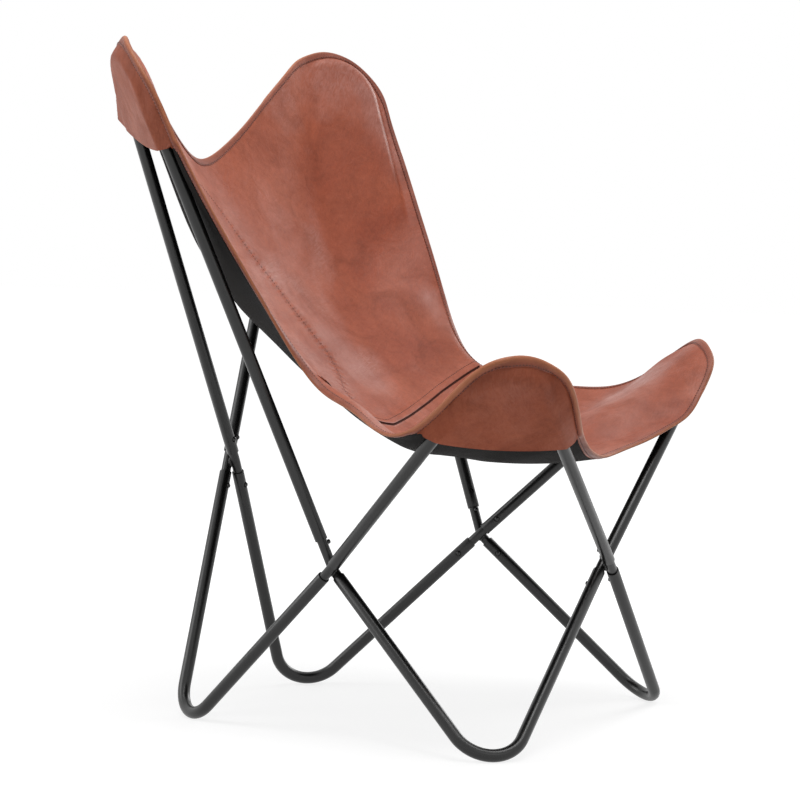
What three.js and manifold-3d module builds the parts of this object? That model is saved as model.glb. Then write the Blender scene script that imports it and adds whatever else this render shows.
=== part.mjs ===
import * as THREE from 'three';
import { mergeVertices } from 'three/addons/utils/BufferGeometryUtils.js';
import Module from 'manifold-3d';

// A butterfly sling chair in millimetres, +Z up. The front faces -Y, the sitter's left is +X, and the origin lies
// on the floor under the middle of the chair. Eight bent tubes plug into four welded X connectors, where sprung
// buttons lock them, and a leather sling hangs from the four upper loops by its pockets.

// Floor loops: where the lines of a loop's two legs meet, before the bend rounds the corner off
const backFootHalfWidth = 173;
const backFootDepth = 237;
const frontFootHalfWidth = 306;
const frontFootDepth = 268;
const footBend = 48;

// Upper loops, by the same corner points
const backTipHalfWidth = 376;
const backTipDepth = 295;
const backTipHeight = 1033;
const backTipBend = 54;
const frontTipHalfWidth = 393;
const frontTipDepth = 313;
const frontTipHeight = 525;
const frontTipBend = 50;

// Crossings, midway between the two welded stubs
const sideCrossingHalfWidth = 243;
const sideCrossingDepth = 15;
const sideCrossingHeight = 214;
const backCrossingDepth = 246;
const backCrossingHeight = 319;
const frontCrossingDepth = 289;
const frontCrossingHeight = 215;

// Tubes and stubs
const tubeRadius = 8;
const stubRadius = 6.3;
const stubWall = 1.24;
const slideFit = 0.3;
const weldBite = 0.6;
const weldRadius = 4.2;
const stubLength = 60;
const looseStubLength = 70;
const sideTubeGap = 12;
const backTubeGap = 15;
const frontTubeGap = 12;
const looseTubeGap = 40;

// Sprung buttons: heights are measured from the tube's axis
const buttonFromCrossing = 35;
const holeFromTubeEnd = 22;
const buttonRadius = 3;
const buttonTop = 10.3;
const buttonDome = 1.5;
const domeShares = [0.7, 0.27];
const flangeTop = 3;
const flangeThickness = 0.8;
const flangeLip = 0.4;
const buttonFit = 0.4;
const tubeHoleExtra = 0.6;
const buttonTurn = 30;
const leafThickness = 0.6;
const leafHalfWidth = 1.5;
const leafDepth = 4.2;
const leafReach = 22;
const leafTail = 4;

// Sling
const leather = 2.4;
const liningThickness = 0.8;
const layGap = 0.3;
const pocketGap = 0.8;
const pocketSlack = 2;
const bindingThickness = 1;
const bindingGap = 0.95;
const bindingWidth = 10;
// How far the binding reaches under a pocket's ends
const pocketEndShare = 0.75;
const liningInset = 4;
const seamGap = 0.4;
const tubeRoom = 5.2;
const imprintLength = 16;
const imprintSoftness = 2.5;
const imprintReach = 25;
const ringBesideTube = 7;
const ringOverTube = -5;
const ringStep = 6;
const ringSearch = 90;
const ringProbe = 1;
const rowProbeShare = 0.02;
const leastLeanShare = 0.7;

// Counts
const tubeSides = 10;
const bendSteps = 7;
const buttonSides = 8;
const leafBendSteps = 4;
const innerRings = 4;
const pocketRows = 4;
// Steps along the outline, from the middle of the top edge to the cross seam and to both ends of each pocket
const stepsToSeam = 18;
const backPocketSteps = [3, 13];
const frontPocketSteps = [22, 31];

// Outline of the sling's right half, from the middle of the top edge round to the middle of the front edge.
// The last two values of each row are shares of the middle line: where a thread from that point would meet it, and
// where the thread ends that runs inwards from the point. Valley rows start with shares of the half width, depth
// and rise of the nearby bend. Lobe rows start with the share of a half turn from the loop's point, then shares of the
// bend's radius: the distance outside the bend and the height over the loop. Waist rows start with shares of the ways
// from the side crossing to the back and front bends, and of its half width.
const topValleyShares = [
  [0, 0.11, -0.176, 0, 0.3],
  [0.2, 0.104, -0.139, 0, 0.306],
  [0.384, 0.094, -0.073, 0, 0.314],
  [0.568, 0.085, 0.005, 0, 0.324],
];
const backLobeShares = [
  [-0.4222, 0.6, 0.6056, 0.004, 0.337],
  [-0.3056, 0.4352, 0.4259, 0.009, 0.348],
  [-0.1889, 0.3519, 0.2537, 0.016, 0.358],
  [-0.0833, 0.3519, 0.1481, 0.025, 0.368],
  [0.0222, 0.3852, 0.0278, 0.038, 0.378],
  [0.15, 0.437, -0.0926, 0.063, 0.392],
  [0.2778, 0.4685, -0.1296, 0.093, 0.407],
  [0.4111, 0.5333, -0.0926, 0.128, 0.423],
  [0.5444, 0.6389, -0.0389, 0.165, 0.442],
];
const waistShares = [
  [0.832, 0.184, 0.2, 0.215, 0.468],
  [0.694, 0.188, 0.135, 0.323, 0.5],
  [0.572, 0.193, 0.061, 0.415, 0.53],
  [0.47, 0.197, -0.008, 0.493, 0.56],
  [0.385, 0.214, -0.056, 0.556, 0.585],
  [0.321, 0.258, -0.054, 0.604, 0.607],
  [0.255, 0.366, 0.032, 0.662, 0.628],
  [0.195, 0.486, 0.125, 0.72, 0.646],
  [0.137, 0.618, 0.206, 0.777, 0.661],
];
const frontLobeShares = [
  [0.5444, 1.022, 0.274, 0.83, 0.674],
  [0.4333, 0.52, 0.058, 0.875, 0.685],
  [0.25, 0.406, 0.042, 0.915, 0.695],
  [0.1056, 0.5, 0.102, 0.945, 0.703],
  [-0.0056, 0.45, 0.212, 0.965, 0.71],
  [-0.1333, 0.414, 0.306, 0.98, 0.717],
  [-0.2611, 0.516, 0.274, 0.99, 0.724],
  [-0.3722, 0.69, 0.17, 0.995, 0.731],
  [-0.4611, 0.81, 0.104, 1, 0.738],
  [-0.5556, 1.02, 0.056, 1, 0.745],
];
const frontValleyShares = [
  [0.652, -0.13, -0.147, 1, 0.752],
  [0.514, -0.108, -0.221, 1, 0.759],
  [0.353, -0.084, -0.282, 1, 0.766],
  [0.177, -0.059, -0.328, 1, 0.772],
  [0, -0.047, -0.356, 1, 0.778],
];
const seamShare = 0.6;
// Middle line of the sling: shares of the way from the front bends to the back bends, in depth and in height
const middleShares = [
  [1.11, 0.772],
  [1.035, 0.599],
  [0.913, 0.358],
  [0.774, 0.126],
  [0.636, -0.061],
  [0.487, -0.176],
  [0.339, -0.226],
  [0.181, -0.237],
  [0.052, -0.226],
  [-0.047, -0.205],
];
// How steeply the hammock climbs to its edge, along the middle line
const climbShares = [
  [0, 2.4],
  [0.35, 2.4],
  [0.55, 1.7],
  [1, 2],
];
// Slack: each is centred on a share of the middle line and fades over another
const belly = { depth: 12, atShare: 0.27, overShare: 0.16 };
const edgeLip = { depth: 16, atShare: 0.63, overShare: 0.12, widthShare: 0.08 };
const rightDroop = { depth: 28, atShare: 0.79, overShare: 0.07 };
// How far the pockets' lower edges sag
const backPocketSag = 14;
const frontPocketSag = 12;

// Worked out from the sizes above
const stubSpacing = 2 * stubRadius - weldBite;
const boreRadius = acrossCorners(stubRadius + slideFit);
const stubBoreRadius = acrossCorners(stubRadius * Math.cos(Math.PI / tubeSides) - stubWall);
const faceRoom = tubeRadius + tubeRoom + leather / 2 + liningThickness;
const pocketRoom = tubeRadius + tubeRoom + leather / 2 + pocketSlack;
const underLeather = leather / 2 + layGap;
const cutOverrun = 5;

// Finishes
const powderCoat = { color: 0x17181a, roughness: 0.42, metalness: 0.35 };
const weldedSteel = { color: 0x141517, roughness: 0.48, metalness: 0.4 };
const blackenedSteel = { color: 0x17181a, roughness: 0.3, metalness: 0.5 };
const springSteel = { color: 0x5c6064, roughness: 0.35, metalness: 1 };
const tanLeather = { color: 0x97543f, roughness: 0.5, metalness: 0 };
const edgeLeather = { color: 0x8c4a35, roughness: 0.45, metalness: 0 };
const blackCanvas = { color: 0x1d1a19, roughness: 0.9, metalness: 0 };

const wasm = await Module();
wasm.setup();

const chair = new THREE.Group();
chair.name = 'butterfly_chair';

function place(name, geometry, finish, matrix) {
  const mesh = new THREE.Mesh(geometry, new THREE.MeshStandardMaterial(finish));
  mesh.name = name;
  if (matrix) mesh.applyMatrix4(matrix);
  chair.add(mesh);
  return mesh;
}

// Radius at the corners of a tube section whose flats stand at this distance
function acrossCorners(flat) {
  return flat / Math.cos(Math.PI / tubeSides);
}

function toSolid(geometry) {
  const bare = geometry.clone();
  bare.deleteAttribute('normal');
  bare.deleteAttribute('uv');
  const merged = mergeVertices(bare);
  const vertProperties = new Float32Array(merged.attributes.position.array);
  const triVerts = new Uint32Array(merged.index.array);
  return new wasm.Manifold(new wasm.Mesh({ numProp: 3, vertProperties, triVerts }));
}

function toGeometry(solid) {
  const mesh = solid.getMesh();
  const geometry = new THREE.BufferGeometry();
  geometry.setAttribute('position', new THREE.BufferAttribute(new Float32Array(mesh.vertProperties), 3));
  geometry.setIndex(new THREE.BufferAttribute(new Uint32Array(mesh.triVerts), 1));
  return geometry;
}

function mix(a, b, share) {
  return a + (b - a) * share;
}

function fade(share, { atShare, overShare }) {
  return Math.exp(-(((share - atShare) / overShare) ** 2));
}

function table(rows, share) {
  const after = rows.findIndex(([at]) => at >= share);
  if (after < 1) return after === 0 ? rows[0][1] : rows[rows.length - 1][1];
  const [from, low] = rows[after - 1];
  const [to, high] = rows[after];
  return mix(low, high, (share - from) / (to - from));
}

// Crossings and loops

// Each connector holds two stubs: the outer one first
const half = stubSpacing / 2;
const crossings = {
  right: [
    new THREE.Vector3(-sideCrossingHalfWidth - half, -sideCrossingDepth, sideCrossingHeight),
    new THREE.Vector3(-sideCrossingHalfWidth + half, -sideCrossingDepth, sideCrossingHeight),
  ],
  left: [
    new THREE.Vector3(sideCrossingHalfWidth + half, -sideCrossingDepth, sideCrossingHeight),
    new THREE.Vector3(sideCrossingHalfWidth - half, -sideCrossingDepth, sideCrossingHeight),
  ],
  back: [
    new THREE.Vector3(0, backCrossingDepth + half, backCrossingHeight),
    new THREE.Vector3(0, backCrossingDepth - half, backCrossingHeight),
  ],
  front: [
    new THREE.Vector3(0, -frontCrossingDepth - half, frontCrossingHeight),
    new THREE.Vector3(0, -frontCrossingDepth + half, frontCrossingHeight),
  ],
};
const tubeGaps = { right: sideTubeGap, left: sideTubeGap, back: backTubeGap, front: frontTubeGap };

// The bend and the two straight legs that leave it towards two stubs
function makeLoop(corner, ends, bend, facing) {
  const legs = ends.map(({ at, gap }) => {
    const way = at.clone().sub(corner).normalize();
    return { at, way, gap, end: at.clone().addScaledVector(way, -gap) };
  });
  const point = legs[0].way.clone().add(legs[1].way).normalize().negate();
  const face = legs[0].way.clone().cross(legs[1].way).normalize();
  if (face.dot(facing) < 0) face.negate();
  const across = face.clone().cross(point);
  if (across.dot(legs[0].way) < 0) across.negate();
  const halfAngle = Math.acos(-point.dot(legs[0].way));
  const centre = corner.clone().addScaledVector(point, -bend / Math.sin(halfAngle));
  return { corner, legs, point, face, across, halfAngle, centre, bend };
}

function onBend(loop, angle) {
  return loop.centre.clone()
    .addScaledVector(loop.point, loop.bend * Math.cos(angle))
    .addScaledVector(loop.across, loop.bend * Math.sin(angle));
}

// Straight leg, bend, straight leg, with rings only where the tube turns. The middle step of the bend faces
// the lowest or highest direction of the loop, so that a foot rests on a flat.
class LoopPath extends THREE.Curve {
  constructor(loop) {
    super();
    const limit = Math.PI / 2 - loop.halfAngle;
    const steepest = Math.atan2(loop.across.z, loop.point.z) + (loop.point.z < 0 ? Math.PI : 0);
    const turn = Math.atan2(Math.sin(steepest), Math.cos(steepest));
    const halfStep = limit / bendSteps;
    const side = (bendSteps - 1) / 2;
    const angles = [];
    for (let i = 0; i <= side; i++) angles.push(mix(limit, turn + halfStep, i / side));
    for (let i = 0; i <= side; i++) angles.push(mix(turn - halfStep, -limit, i / side));
    this.points = [loop.legs[0].end, ...angles.map((angle) => onBend(loop, angle)), loop.legs[1].end];
    const along = (angle) => loop.point.clone().multiplyScalar(Math.sin(angle))
      .addScaledVector(loop.across, -Math.cos(angle));
    this.tangents = [
      loop.legs[0].way.clone().negate(),
      ...angles.map(along),
      loop.legs[1].way.clone(),
    ];
    this.steps = this.points.length - 1;
    this.middle = (this.steps - 1) / 2;
  }

  getPointAt(u) {
    return this.points[Math.round(u * this.steps)].clone();
  }

  getTangentAt(u) {
    return this.tangents[Math.round(u * this.steps)].clone().normalize();
  }
}

function ringPath(radius, turn, PathClass = THREE.Shape) {
  const path = new PathClass();
  for (let i = 0; i < tubeSides; i++) {
    const angle = turn + (Math.PI * (2 * i + 1)) / tubeSides;
    const [x, y] = [radius * Math.cos(angle), radius * Math.sin(angle)];
    if (i === 0) path.moveTo(x, y);
    else path.lineTo(x, y);
  }
  path.closePath();
  return path;
}

function tubeGeometry(loop) {
  const path = new LoopPath(loop);
  const frames = path.computeFrenetFrames(path.steps);
  const at = Math.floor(path.middle);
  const down = new THREE.Vector3(0, 0, -1);
  const turn = Math.atan2(down.dot(frames.binormals[at]), down.dot(frames.normals[at]));
  const section = ringPath(tubeRadius, turn);
  section.holes.push(ringPath(boreRadius, turn, THREE.Path));
  return new THREE.ExtrudeGeometry(section, { steps: path.steps, extrudePath: path, bevelEnabled: false });
}

// Corner height of a floor loop whose bend just touches the floor
function footLoop(x, y, ends, facing) {
  let height = 0;
  let loop;
  for (let round = 0; round < bendSteps; round++) {
    loop = makeLoop(new THREE.Vector3(x, y, height), ends, footBend, facing);
    const geometry = tubeGeometry(loop);
    geometry.computeBoundingBox();
    height -= geometry.boundingBox.min.z;
  }
  return loop;
}

function end(crossing, layer, gap = tubeGaps[crossing]) {
  return { crossing, layer, at: crossings[crossing][layer], gap };
}

const up = new THREE.Vector3(0, 0, 1);
// Leans twice as much towards the middle of the chair as upwards
const inwardLeanShare = 2;
function towardsSitter(x, y) {
  return new THREE.Vector3(-x, -y, 0).setLength(inwardLeanShare).add(up).normalize();
}

const loops = [];
function addLoop(name, loop, ends) {
  loops.push({ name, ...loop, ends });
}

function upperLoop(name, x, y, z, bend, ends) {
  const facing = towardsSitter(x, y);
  addLoop(name, makeLoop(new THREE.Vector3(x, y, z), ends, bend, facing), ends);
}

function floorLoop(name, x, y, ends) {
  addLoop(name, footLoop(x, y, ends, up), ends);
}

floorLoop('back_foot_tube_right', -backFootHalfWidth, backFootDepth, [end('right', 0), end('back', 0)]);
floorLoop('back_foot_tube_left', backFootHalfWidth, backFootDepth, [end('left', 1), end('back', 1)]);
floorLoop('front_foot_tube_right', -frontFootHalfWidth, -frontFootDepth, [end('right', 1), end('front', 1)]);
floorLoop('front_foot_tube_left', frontFootHalfWidth, -frontFootDepth, [end('left', 0), end('front', 0)]);
upperLoop('back_tip_tube_right', -backTipHalfWidth, backTipDepth, backTipHeight, backTipBend,
  [end('right', 1, looseTubeGap), end('back', 1)]);
upperLoop('back_tip_tube_left', backTipHalfWidth, backTipDepth, backTipHeight, backTipBend,
  [end('left', 0, looseTubeGap), end('back', 0)]);
upperLoop('front_tip_tube_right', -frontTipHalfWidth, -frontTipDepth, frontTipHeight, frontTipBend,
  [end('right', 0), end('front', 0)]);
upperLoop('front_tip_tube_left', frontTipHalfWidth, -frontTipDepth, frontTipHeight, frontTipBend,
  [end('left', 1), end('front', 1)]);

function findLoop(name) {
  return loops.find((loop) => loop.name === name);
}

// Arms: one for each tube end. A button looks inwards from its connector.
const inwards = {
  right: new THREE.Vector3(0.96, -0.28, 0),
  left: new THREE.Vector3(-0.96, -0.28, 0),
  back: new THREE.Vector3(0, -1, 0),
  front: new THREE.Vector3(0, 1, 0),
};

function armOf(loop, leg, { crossing, layer }) {
  const along = leg.way.clone().negate();
  const loose = leg.gap === looseTubeGap;
  const look = inwards[crossing].clone().addScaledVector(along, -inwards[crossing].dot(along)).normalize();
  if (loose) {
    const towardsFront = crossing === 'right' ? -1 : 1;
    look.applyAxisAngle(along, THREE.MathUtils.degToRad(buttonTurn) * towardsFront);
  }
  const aside = look.clone().cross(along);
  const basis = new THREE.Matrix4().makeBasis(along, aside, look);
  const button = basis.clone().setPosition(leg.at.clone().addScaledVector(along, buttonFromCrossing));
  const holeDistance = loose ? leg.gap + holeFromTubeEnd : buttonFromCrossing;
  const hole = basis.clone().setPosition(leg.at.clone().addScaledVector(along, holeDistance));
  const role = loop.name.replace('_tube', '');
  return {
    name: `${role}_at_${crossing}`,
    tube: loop.name, crossing, layer, at: leg.at, along, look, basis, button, hole,
    length: loose ? looseStubLength : stubLength,
  };
}

const arms = loops.flatMap((loop) => loop.legs.map((leg, i) => armOf(loop, leg, loop.ends[i])));

// A cylinder that starts on the axis of an arm's button and goes out through one wall
function holeCutter(matrix, radius) {
  const length = buttonTop + cutOverrun;
  const geometry = new THREE.CylinderGeometry(radius, radius, length, buttonSides);
  geometry.translate(0, length / 2, 0);
  geometry.rotateX(Math.PI / 2);
  geometry.applyMatrix4(matrix);
  return toSolid(geometry);
}

const holeRadius = (buttonRadius + buttonFit) / Math.cos(Math.PI / buttonSides);

for (const loop of loops) {
  let tube = toSolid(tubeGeometry(loop));
  for (const arm of arms.filter((one) => one.tube === loop.name)) {
    tube = tube.subtract(holeCutter(arm.hole, holeRadius + tubeHoleExtra));
  }
  place(loop.name, toGeometry(tube), powderCoat);
}

// Connectors: two crossed hollow stubs, each bent where it passes the other, and the weld between them
class StubPath extends THREE.Curve {
  constructor([first, second]) {
    super();
    this.points = [
      first.at.clone().addScaledVector(first.along, first.length),
      first.at.clone(),
      second.at.clone().addScaledVector(second.along, second.length),
    ];
    const bend = second.along.clone().sub(first.along);
    this.tangents = [first.along.clone().negate(), bend.normalize(), second.along.clone()];
    this.steps = this.points.length - 1;
  }

  getPointAt(u) {
    return this.points[Math.round(u * this.steps)].clone();
  }

  getTangentAt(u) {
    return this.tangents[Math.round(u * this.steps)].clone();
  }
}

function stub(pair) {
  const path = new StubPath(pair);
  const section = ringPath(stubRadius, 0);
  section.holes.push(ringPath(stubBoreRadius, 0, THREE.Path));
  return toSolid(new THREE.ExtrudeGeometry(section, {
    steps: path.steps,
    extrudePath: path,
    bevelEnabled: false,
  }));
}

// A short rod between the stubs' walls, from one bore to the other
function weld([outer, inner]) {
  const way = inner.clone().sub(outer).normalize();
  const geometry = new THREE.CylinderGeometry(weldRadius, weldRadius, 2 * stubWall, tubeSides);
  geometry.applyQuaternion(new THREE.Quaternion().setFromUnitVectors(new THREE.Vector3(0, 1, 0), way));
  const middle = outer.clone().lerp(inner, 1 / 2);
  geometry.translate(middle.x, middle.y, middle.z);
  return toSolid(geometry);
}

function connector(crossing) {
  const own = arms.filter((arm) => arm.crossing === crossing);
  const [outerStub, innerStub] = [0, 1].map((layer) => stub(own.filter((arm) => arm.layer === layer)));
  let body = outerStub.add(innerStub).add(weld(crossings[crossing]));
  for (const arm of own) body = body.subtract(holeCutter(arm.button, holeRadius));
  return toGeometry(body);
}

for (const crossing of Object.keys(crossings)) {
  place(`x_connector_${crossing}`, connector(crossing), weldedSteel);
}

// Buttons and their leaf springs
function buttonGeometry() {
  const flangeRadius = buttonRadius + flangeLip;
  const foot = flangeTop - flangeThickness;
  const shoulder = buttonTop - buttonDome;
  const profile = [
    [0, foot],
    [flangeRadius, foot],
    [flangeRadius, flangeTop],
    [buttonRadius, flangeTop],
    [buttonRadius, shoulder],
    [buttonRadius * domeShares[0], buttonTop - buttonDome * domeShares[1]],
    [0, buttonTop],
  ];
  const points = profile.map(([r, z]) => new THREE.Vector2(r, z));
  const geometry = new THREE.LatheGeometry(points, buttonSides);
  geometry.rotateX(Math.PI / 2);
  return geometry;
}

function leafGeometry() {
  const top = flangeTop;
  const bottom = -leafDepth;
  const middle = (top + bottom) / 2;
  const outerRadius = (top - bottom) / 2;
  const innerRadius = outerRadius - leafThickness;
  const tip = -(buttonRadius + flangeLip + slideFit);
  const outline = new THREE.Shape();
  outline.moveTo(tip, top);
  outline.lineTo(-leafReach, top);
  outline.absarc(-leafReach, middle, outerRadius, Math.PI / 2, (3 * Math.PI) / 2, false);
  outline.lineTo(leafTail, bottom);
  outline.lineTo(leafTail, bottom + leafThickness);
  outline.lineTo(-leafReach, bottom + leafThickness);
  outline.absarc(-leafReach, middle, innerRadius, (3 * Math.PI) / 2, Math.PI / 2, true);
  outline.lineTo(tip, top - leafThickness);
  outline.closePath();
  const geometry = new THREE.ExtrudeGeometry(outline, {
    depth: 2 * leafHalfWidth,
    bevelEnabled: false,
    curveSegments: leafBendSteps,
  });
  geometry.translate(0, 0, -leafHalfWidth);
  geometry.rotateX(Math.PI / 2);
  return geometry;
}

for (const arm of arms) {
  place(`button_${arm.name}`, buttonGeometry(), blackenedSteel, arm.button);
  place(`leaf_spring_${arm.name}`, leafGeometry(), springSteel, arm.button);
}

// Sling: one net of threads, from which every layer is cut

const tips = {
  back: { '-1': findLoop('back_tip_tube_right'), 1: findLoop('back_tip_tube_left') },
  front: { '-1': findLoop('front_tip_tube_right'), 1: findLoop('front_tip_tube_left') },
};
const backBend = tips.back[1].centre;
const frontBend = tips.front[1].centre;
const benchDepth = backBend.y - frontBend.y;
const benchRise = backBend.z - frontBend.z;

const middleLine = new THREE.CatmullRomCurve3(
  middleShares.map(([depth, height]) => new THREE.Vector3(
    0,
    frontBend.y + depth * benchDepth,
    frontBend.z + height * benchRise,
  )),
  false,
  'centripetal',
);
middleLine.arcLengthDivisions = 1000;

function valleyPoint(bend, rise, [width, depth, height]) {
  return new THREE.Vector3(width * bend.x, bend.y + depth * benchDepth, bend.z + height * rise);
}

function lobePoint(loop, side, [turn, margin, height]) {
  const angle = Math.PI * turn;
  const reach = loop.bend * (1 + margin);
  const point = loop.centre.clone()
    .addScaledVector(loop.point, reach * Math.cos(angle))
    .addScaledVector(loop.across, reach * Math.sin(angle))
    .addScaledVector(loop.face, loop.bend * height);
  point.x *= side;
  return point;
}

const sideCrossing = new THREE.Vector3(sideCrossingHalfWidth, -sideCrossingDepth, sideCrossingHeight);
function waistPoint([toBack, toFront, aside]) {
  const backWay = backBend.clone().sub(sideCrossing);
  const frontWay = frontBend.clone().sub(sideCrossing);
  const square = backWay.clone().cross(frontWay).normalize();
  return sideCrossing.clone()
    .addScaledVector(backWay, toBack)
    .addScaledVector(frontWay, toFront)
    .addScaledVector(square, aside * sideCrossingHalfWidth);
}

// Stations of one half: the point, mirrored to x > 0, and its two shares of the middle line
function halfStations(side) {
  const valley = (bend, rise) => (row) => ({ point: valleyPoint(bend, rise, row), row });
  const lobe = (loop) => (row) => ({ point: lobePoint(loop, side, row), row });
  const waist = (row) => ({ point: waistPoint(row), row });
  return [
    ...topValleyShares.map(valley(backBend, backBend.z - backCrossingHeight)),
    ...backLobeShares.map(lobe(tips.back[side])),
    ...waistShares.map(waist),
    ...frontLobeShares.map(lobe(tips.front[side])),
    ...frontValleyShares.map(valley(frontBend, frontBend.z - frontCrossingHeight)),
  ].map(({ point, row }) => ({ side, point, meets: row[3], ends: row[4] }));
}

const rightHalf = halfStations(-1);
const leftHalf = halfStations(1);
const lastStation = leftHalf.length - 1;
// All the way round: down the left half, then back up the right half
const stations = [...leftHalf, ...rightHalf.slice(1, lastStation).reverse()];

function middleAt(share) {
  return middleLine.getPointAt(THREE.MathUtils.clamp(share, 0, 1));
}

function underside(share) {
  const way = middleLine.getTangentAt(THREE.MathUtils.clamp(share, 0, 1));
  return new THREE.Vector3(0, -way.z, way.y);
}

// Distance outside a loop's centreline, negative between its legs, and the height over it
function overLoop(loop, point) {
  const way = point.clone().sub(loop.centre);
  const a = way.dot(loop.point);
  const b = Math.abs(way.dot(loop.across));
  const inSector = a * Math.cos(loop.halfAngle) > b * Math.sin(loop.halfAngle);
  const outside = inSector
    ? Math.hypot(a, b) - loop.bend
    : a * Math.sin(loop.halfAngle) + b * Math.cos(loop.halfAngle) - loop.bend;
  return { outside, height: way.dot(loop.face) };
}

function roomOver(outside, room) {
  return room - Math.max(outside, 0) ** 2 / imprintLength;
}

function softMax(value, floor) {
  return floor + imprintSoftness * Math.log1p(Math.exp((value - floor) / imprintSoftness));
}

// Keeps the sling on the sitter's side of the tube that it hangs from
function pushOver(loop, point) {
  const { outside, height } = overLoop(loop, point);
  const floor = roomOver(outside, faceRoom);
  if (height > floor + imprintReach) return point;
  return point.clone().addScaledVector(loop.face, softMax(height, floor) - height);
}

// A point on the thread of a station: 0 at the middle line, 1 at the outline
function threadPoint(station, share) {
  const { side, point: edge, meets, ends } = station;
  const along = mix(ends, meets, share);
  const middle = middleAt(along);
  const foot = middleAt(meets);
  const climb = share ** table(climbShares, along);
  const point = new THREE.Vector3(
    edge.x * share,
    middle.y + (edge.y - foot.y) * climb,
    middle.z + (edge.z - foot.z) * climb,
  );
  const aside = point.x / backTipHalfWidth;
  const slack = belly.depth * fade(along, belly) * 4 * aside ** 2 * (1 - share ** 2);
  point.addScaledVector(underside(along), slack);
  const lip = THREE.MathUtils.clamp((share - 1 + edgeLip.widthShare) / edgeLip.widthShare, 0, 1);
  point.z -= edgeLip.depth * fade(meets, edgeLip) * lip ** 2;
  if (side < 0) point.z -= rightDroop.depth * fade(along, rightDroop) * aside ** 2;
  point.x *= side;
  const pushed = pushOver(tips.back[side], pushOver(tips.front[side], point));
  if (edge.x * share === 0) pushed.x = 0;
  return pushed;
}

// Walks a thread inwards from the outline until it is this far outside the loop's centreline
function insetWhere(station, loop, outside, least, reach) {
  for (let inset = least; inset < ringSearch; inset += ringProbe) {
    const point = threadPoint(station, 1 - inset / reach);
    const over = overLoop(loop, point);
    if (over.outside <= outside && over.height < 3 * faceRoom) return inset;
  }
  return least;
}

// Shares of the thread where its rings lie: the outline, the binding's line, the lining's edge, two about the tube,
// then even steps
function ringShares(station) {
  const probe = 0.02;
  const reach = threadPoint(station, 1).distanceTo(threadPoint(station, 1 - probe)) / probe;
  const loop = station.meets < seamShare ? tips.back[station.side] : tips.front[station.side];
  const besideTube = insetWhere(station, loop, ringBesideTube, bindingWidth + ringStep, reach);
  const overTube = insetWhere(station, loop, ringOverTube, besideTube + 2 * ringStep, reach);
  const insets = [0, bindingWidth, bindingWidth + liningInset, besideTube, overTube];
  const shares = insets.map((inset) => 1 - inset / reach);
  const last = shares[shares.length - 1];
  for (let i = 1; i < innerRings; i++) shares.push(mix(last, 0, i / innerRings));
  return shares;
}

// Net of points: every station's rings, then the middle points, which mirrored stations share
const net = stations.map((station) => ringShares(station).map((share) => threadPoint(station, share)));
const ringCount = net[0].length;
const middlePoints = leftHalf.map((station) => threadPoint(station, 0));

function netIndex(k, j) {
  const station = (k + stations.length) % stations.length;
  if (j < ringCount) return station * ringCount + j;
  return stations.length * ringCount + Math.min(station, stations.length - station);
}

function quad(list, a, b, c, d) {
  if (a !== b) list.push([a, b, c]);
  if (c !== d) list.push([a, c, d]);
}

// Triangles between two stations and two rings, facing the sitter
function cells(first, last, outerRing, innerRing = ringCount) {
  const list = [];
  for (let k = first; k < last; k++) {
    for (let j = outerRing; j < innerRing; j++) {
      quad(list, netIndex(k, j), netIndex(k, j + 1), netIndex(k + 1, j + 1), netIndex(k + 1, j));
    }
  }
  return list;
}

// Normals made longer at folds, so that every face of an offset keeps its distance
function normalsOf(points, triangles) {
  const normals = points.map(() => new THREE.Vector3());
  const faces = triangles.map(([a, b, c]) => (
    points[b].clone().sub(points[a]).cross(points[c].clone().sub(points[a]))
  ));
  faces.forEach((face, f) => triangles[f].forEach((i) => normals[i].add(face)));
  const leans = points.map(() => 1);
  faces.forEach((face, f) => triangles[f].forEach((i) => {
    const lean = normals[i].angleTo(face);
    leans[i] = Math.min(leans[i], Math.cos(lean));
  }));
  return normals.map((normal, i) => normal.setLength(1 / Math.max(leans[i], leastLeanShare)));
}

// Closed solid between two offsets of a net, with walls along its open edges
function thicken(points, normals, triangles, upper, lower) {
  const used = [...new Set(triangles.flat())];
  const place = new Map(used.map((id, i) => [id, i]));
  const position = [];
  for (const offset of [upper, lower]) {
    for (const id of used) position.push(...points[id].clone().addScaledVector(normals[id], offset).toArray());
  }
  const index = [];
  const edges = new Map();
  for (const triangle of triangles) {
    const [a, b, c] = triangle.map((id) => place.get(id));
    index.push(a, b, c, a + used.length, c + used.length, b + used.length);
    for (const [from, to] of [[a, b], [b, c], [c, a]]) edges.set(`${from},${to}`, [from, to]);
  }
  for (const [from, to] of edges.values()) {
    if (edges.has(`${to},${from}`)) continue;
    index.push(to, from, from + used.length, to, from + used.length, to + used.length);
  }
  const geometry = new THREE.BufferGeometry();
  geometry.setAttribute('position', new THREE.Float32BufferAttribute(position, 3));
  geometry.setIndex(index);
  return geometry;
}

const netPoints = [...net.flat(), ...middlePoints];
const wholeNet = cells(0, stations.length, 0);
const netNormals = normalsOf(netPoints, wholeNet);

// The back and seat panel runs up to the seam, and the front panel starts just past it
place('back_and_seat_leather',
  thicken(netPoints, netNormals, cells(-stepsToSeam, stepsToSeam, 0), leather / 2, -leather / 2), tanLeather);

const frontPoints = netPoints.map((point) => point.clone());
for (const side of [1, -1]) {
  const seam = side * stepsToSeam;
  const next = seam + side;
  for (let j = 0; j <= ringCount; j++) {
    const from = netPoints[netIndex(seam, j)];
    const way = netPoints[netIndex(next, j)].clone().sub(from).setLength(seamGap);
    frontPoints[netIndex(seam, j)] = from.clone().add(way);
  }
}
place('front_seat_leather',
  thicken(frontPoints, netNormals, cells(stepsToSeam, stations.length - stepsToSeam, 0), leather / 2, -leather / 2),
  tanLeather);

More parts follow.
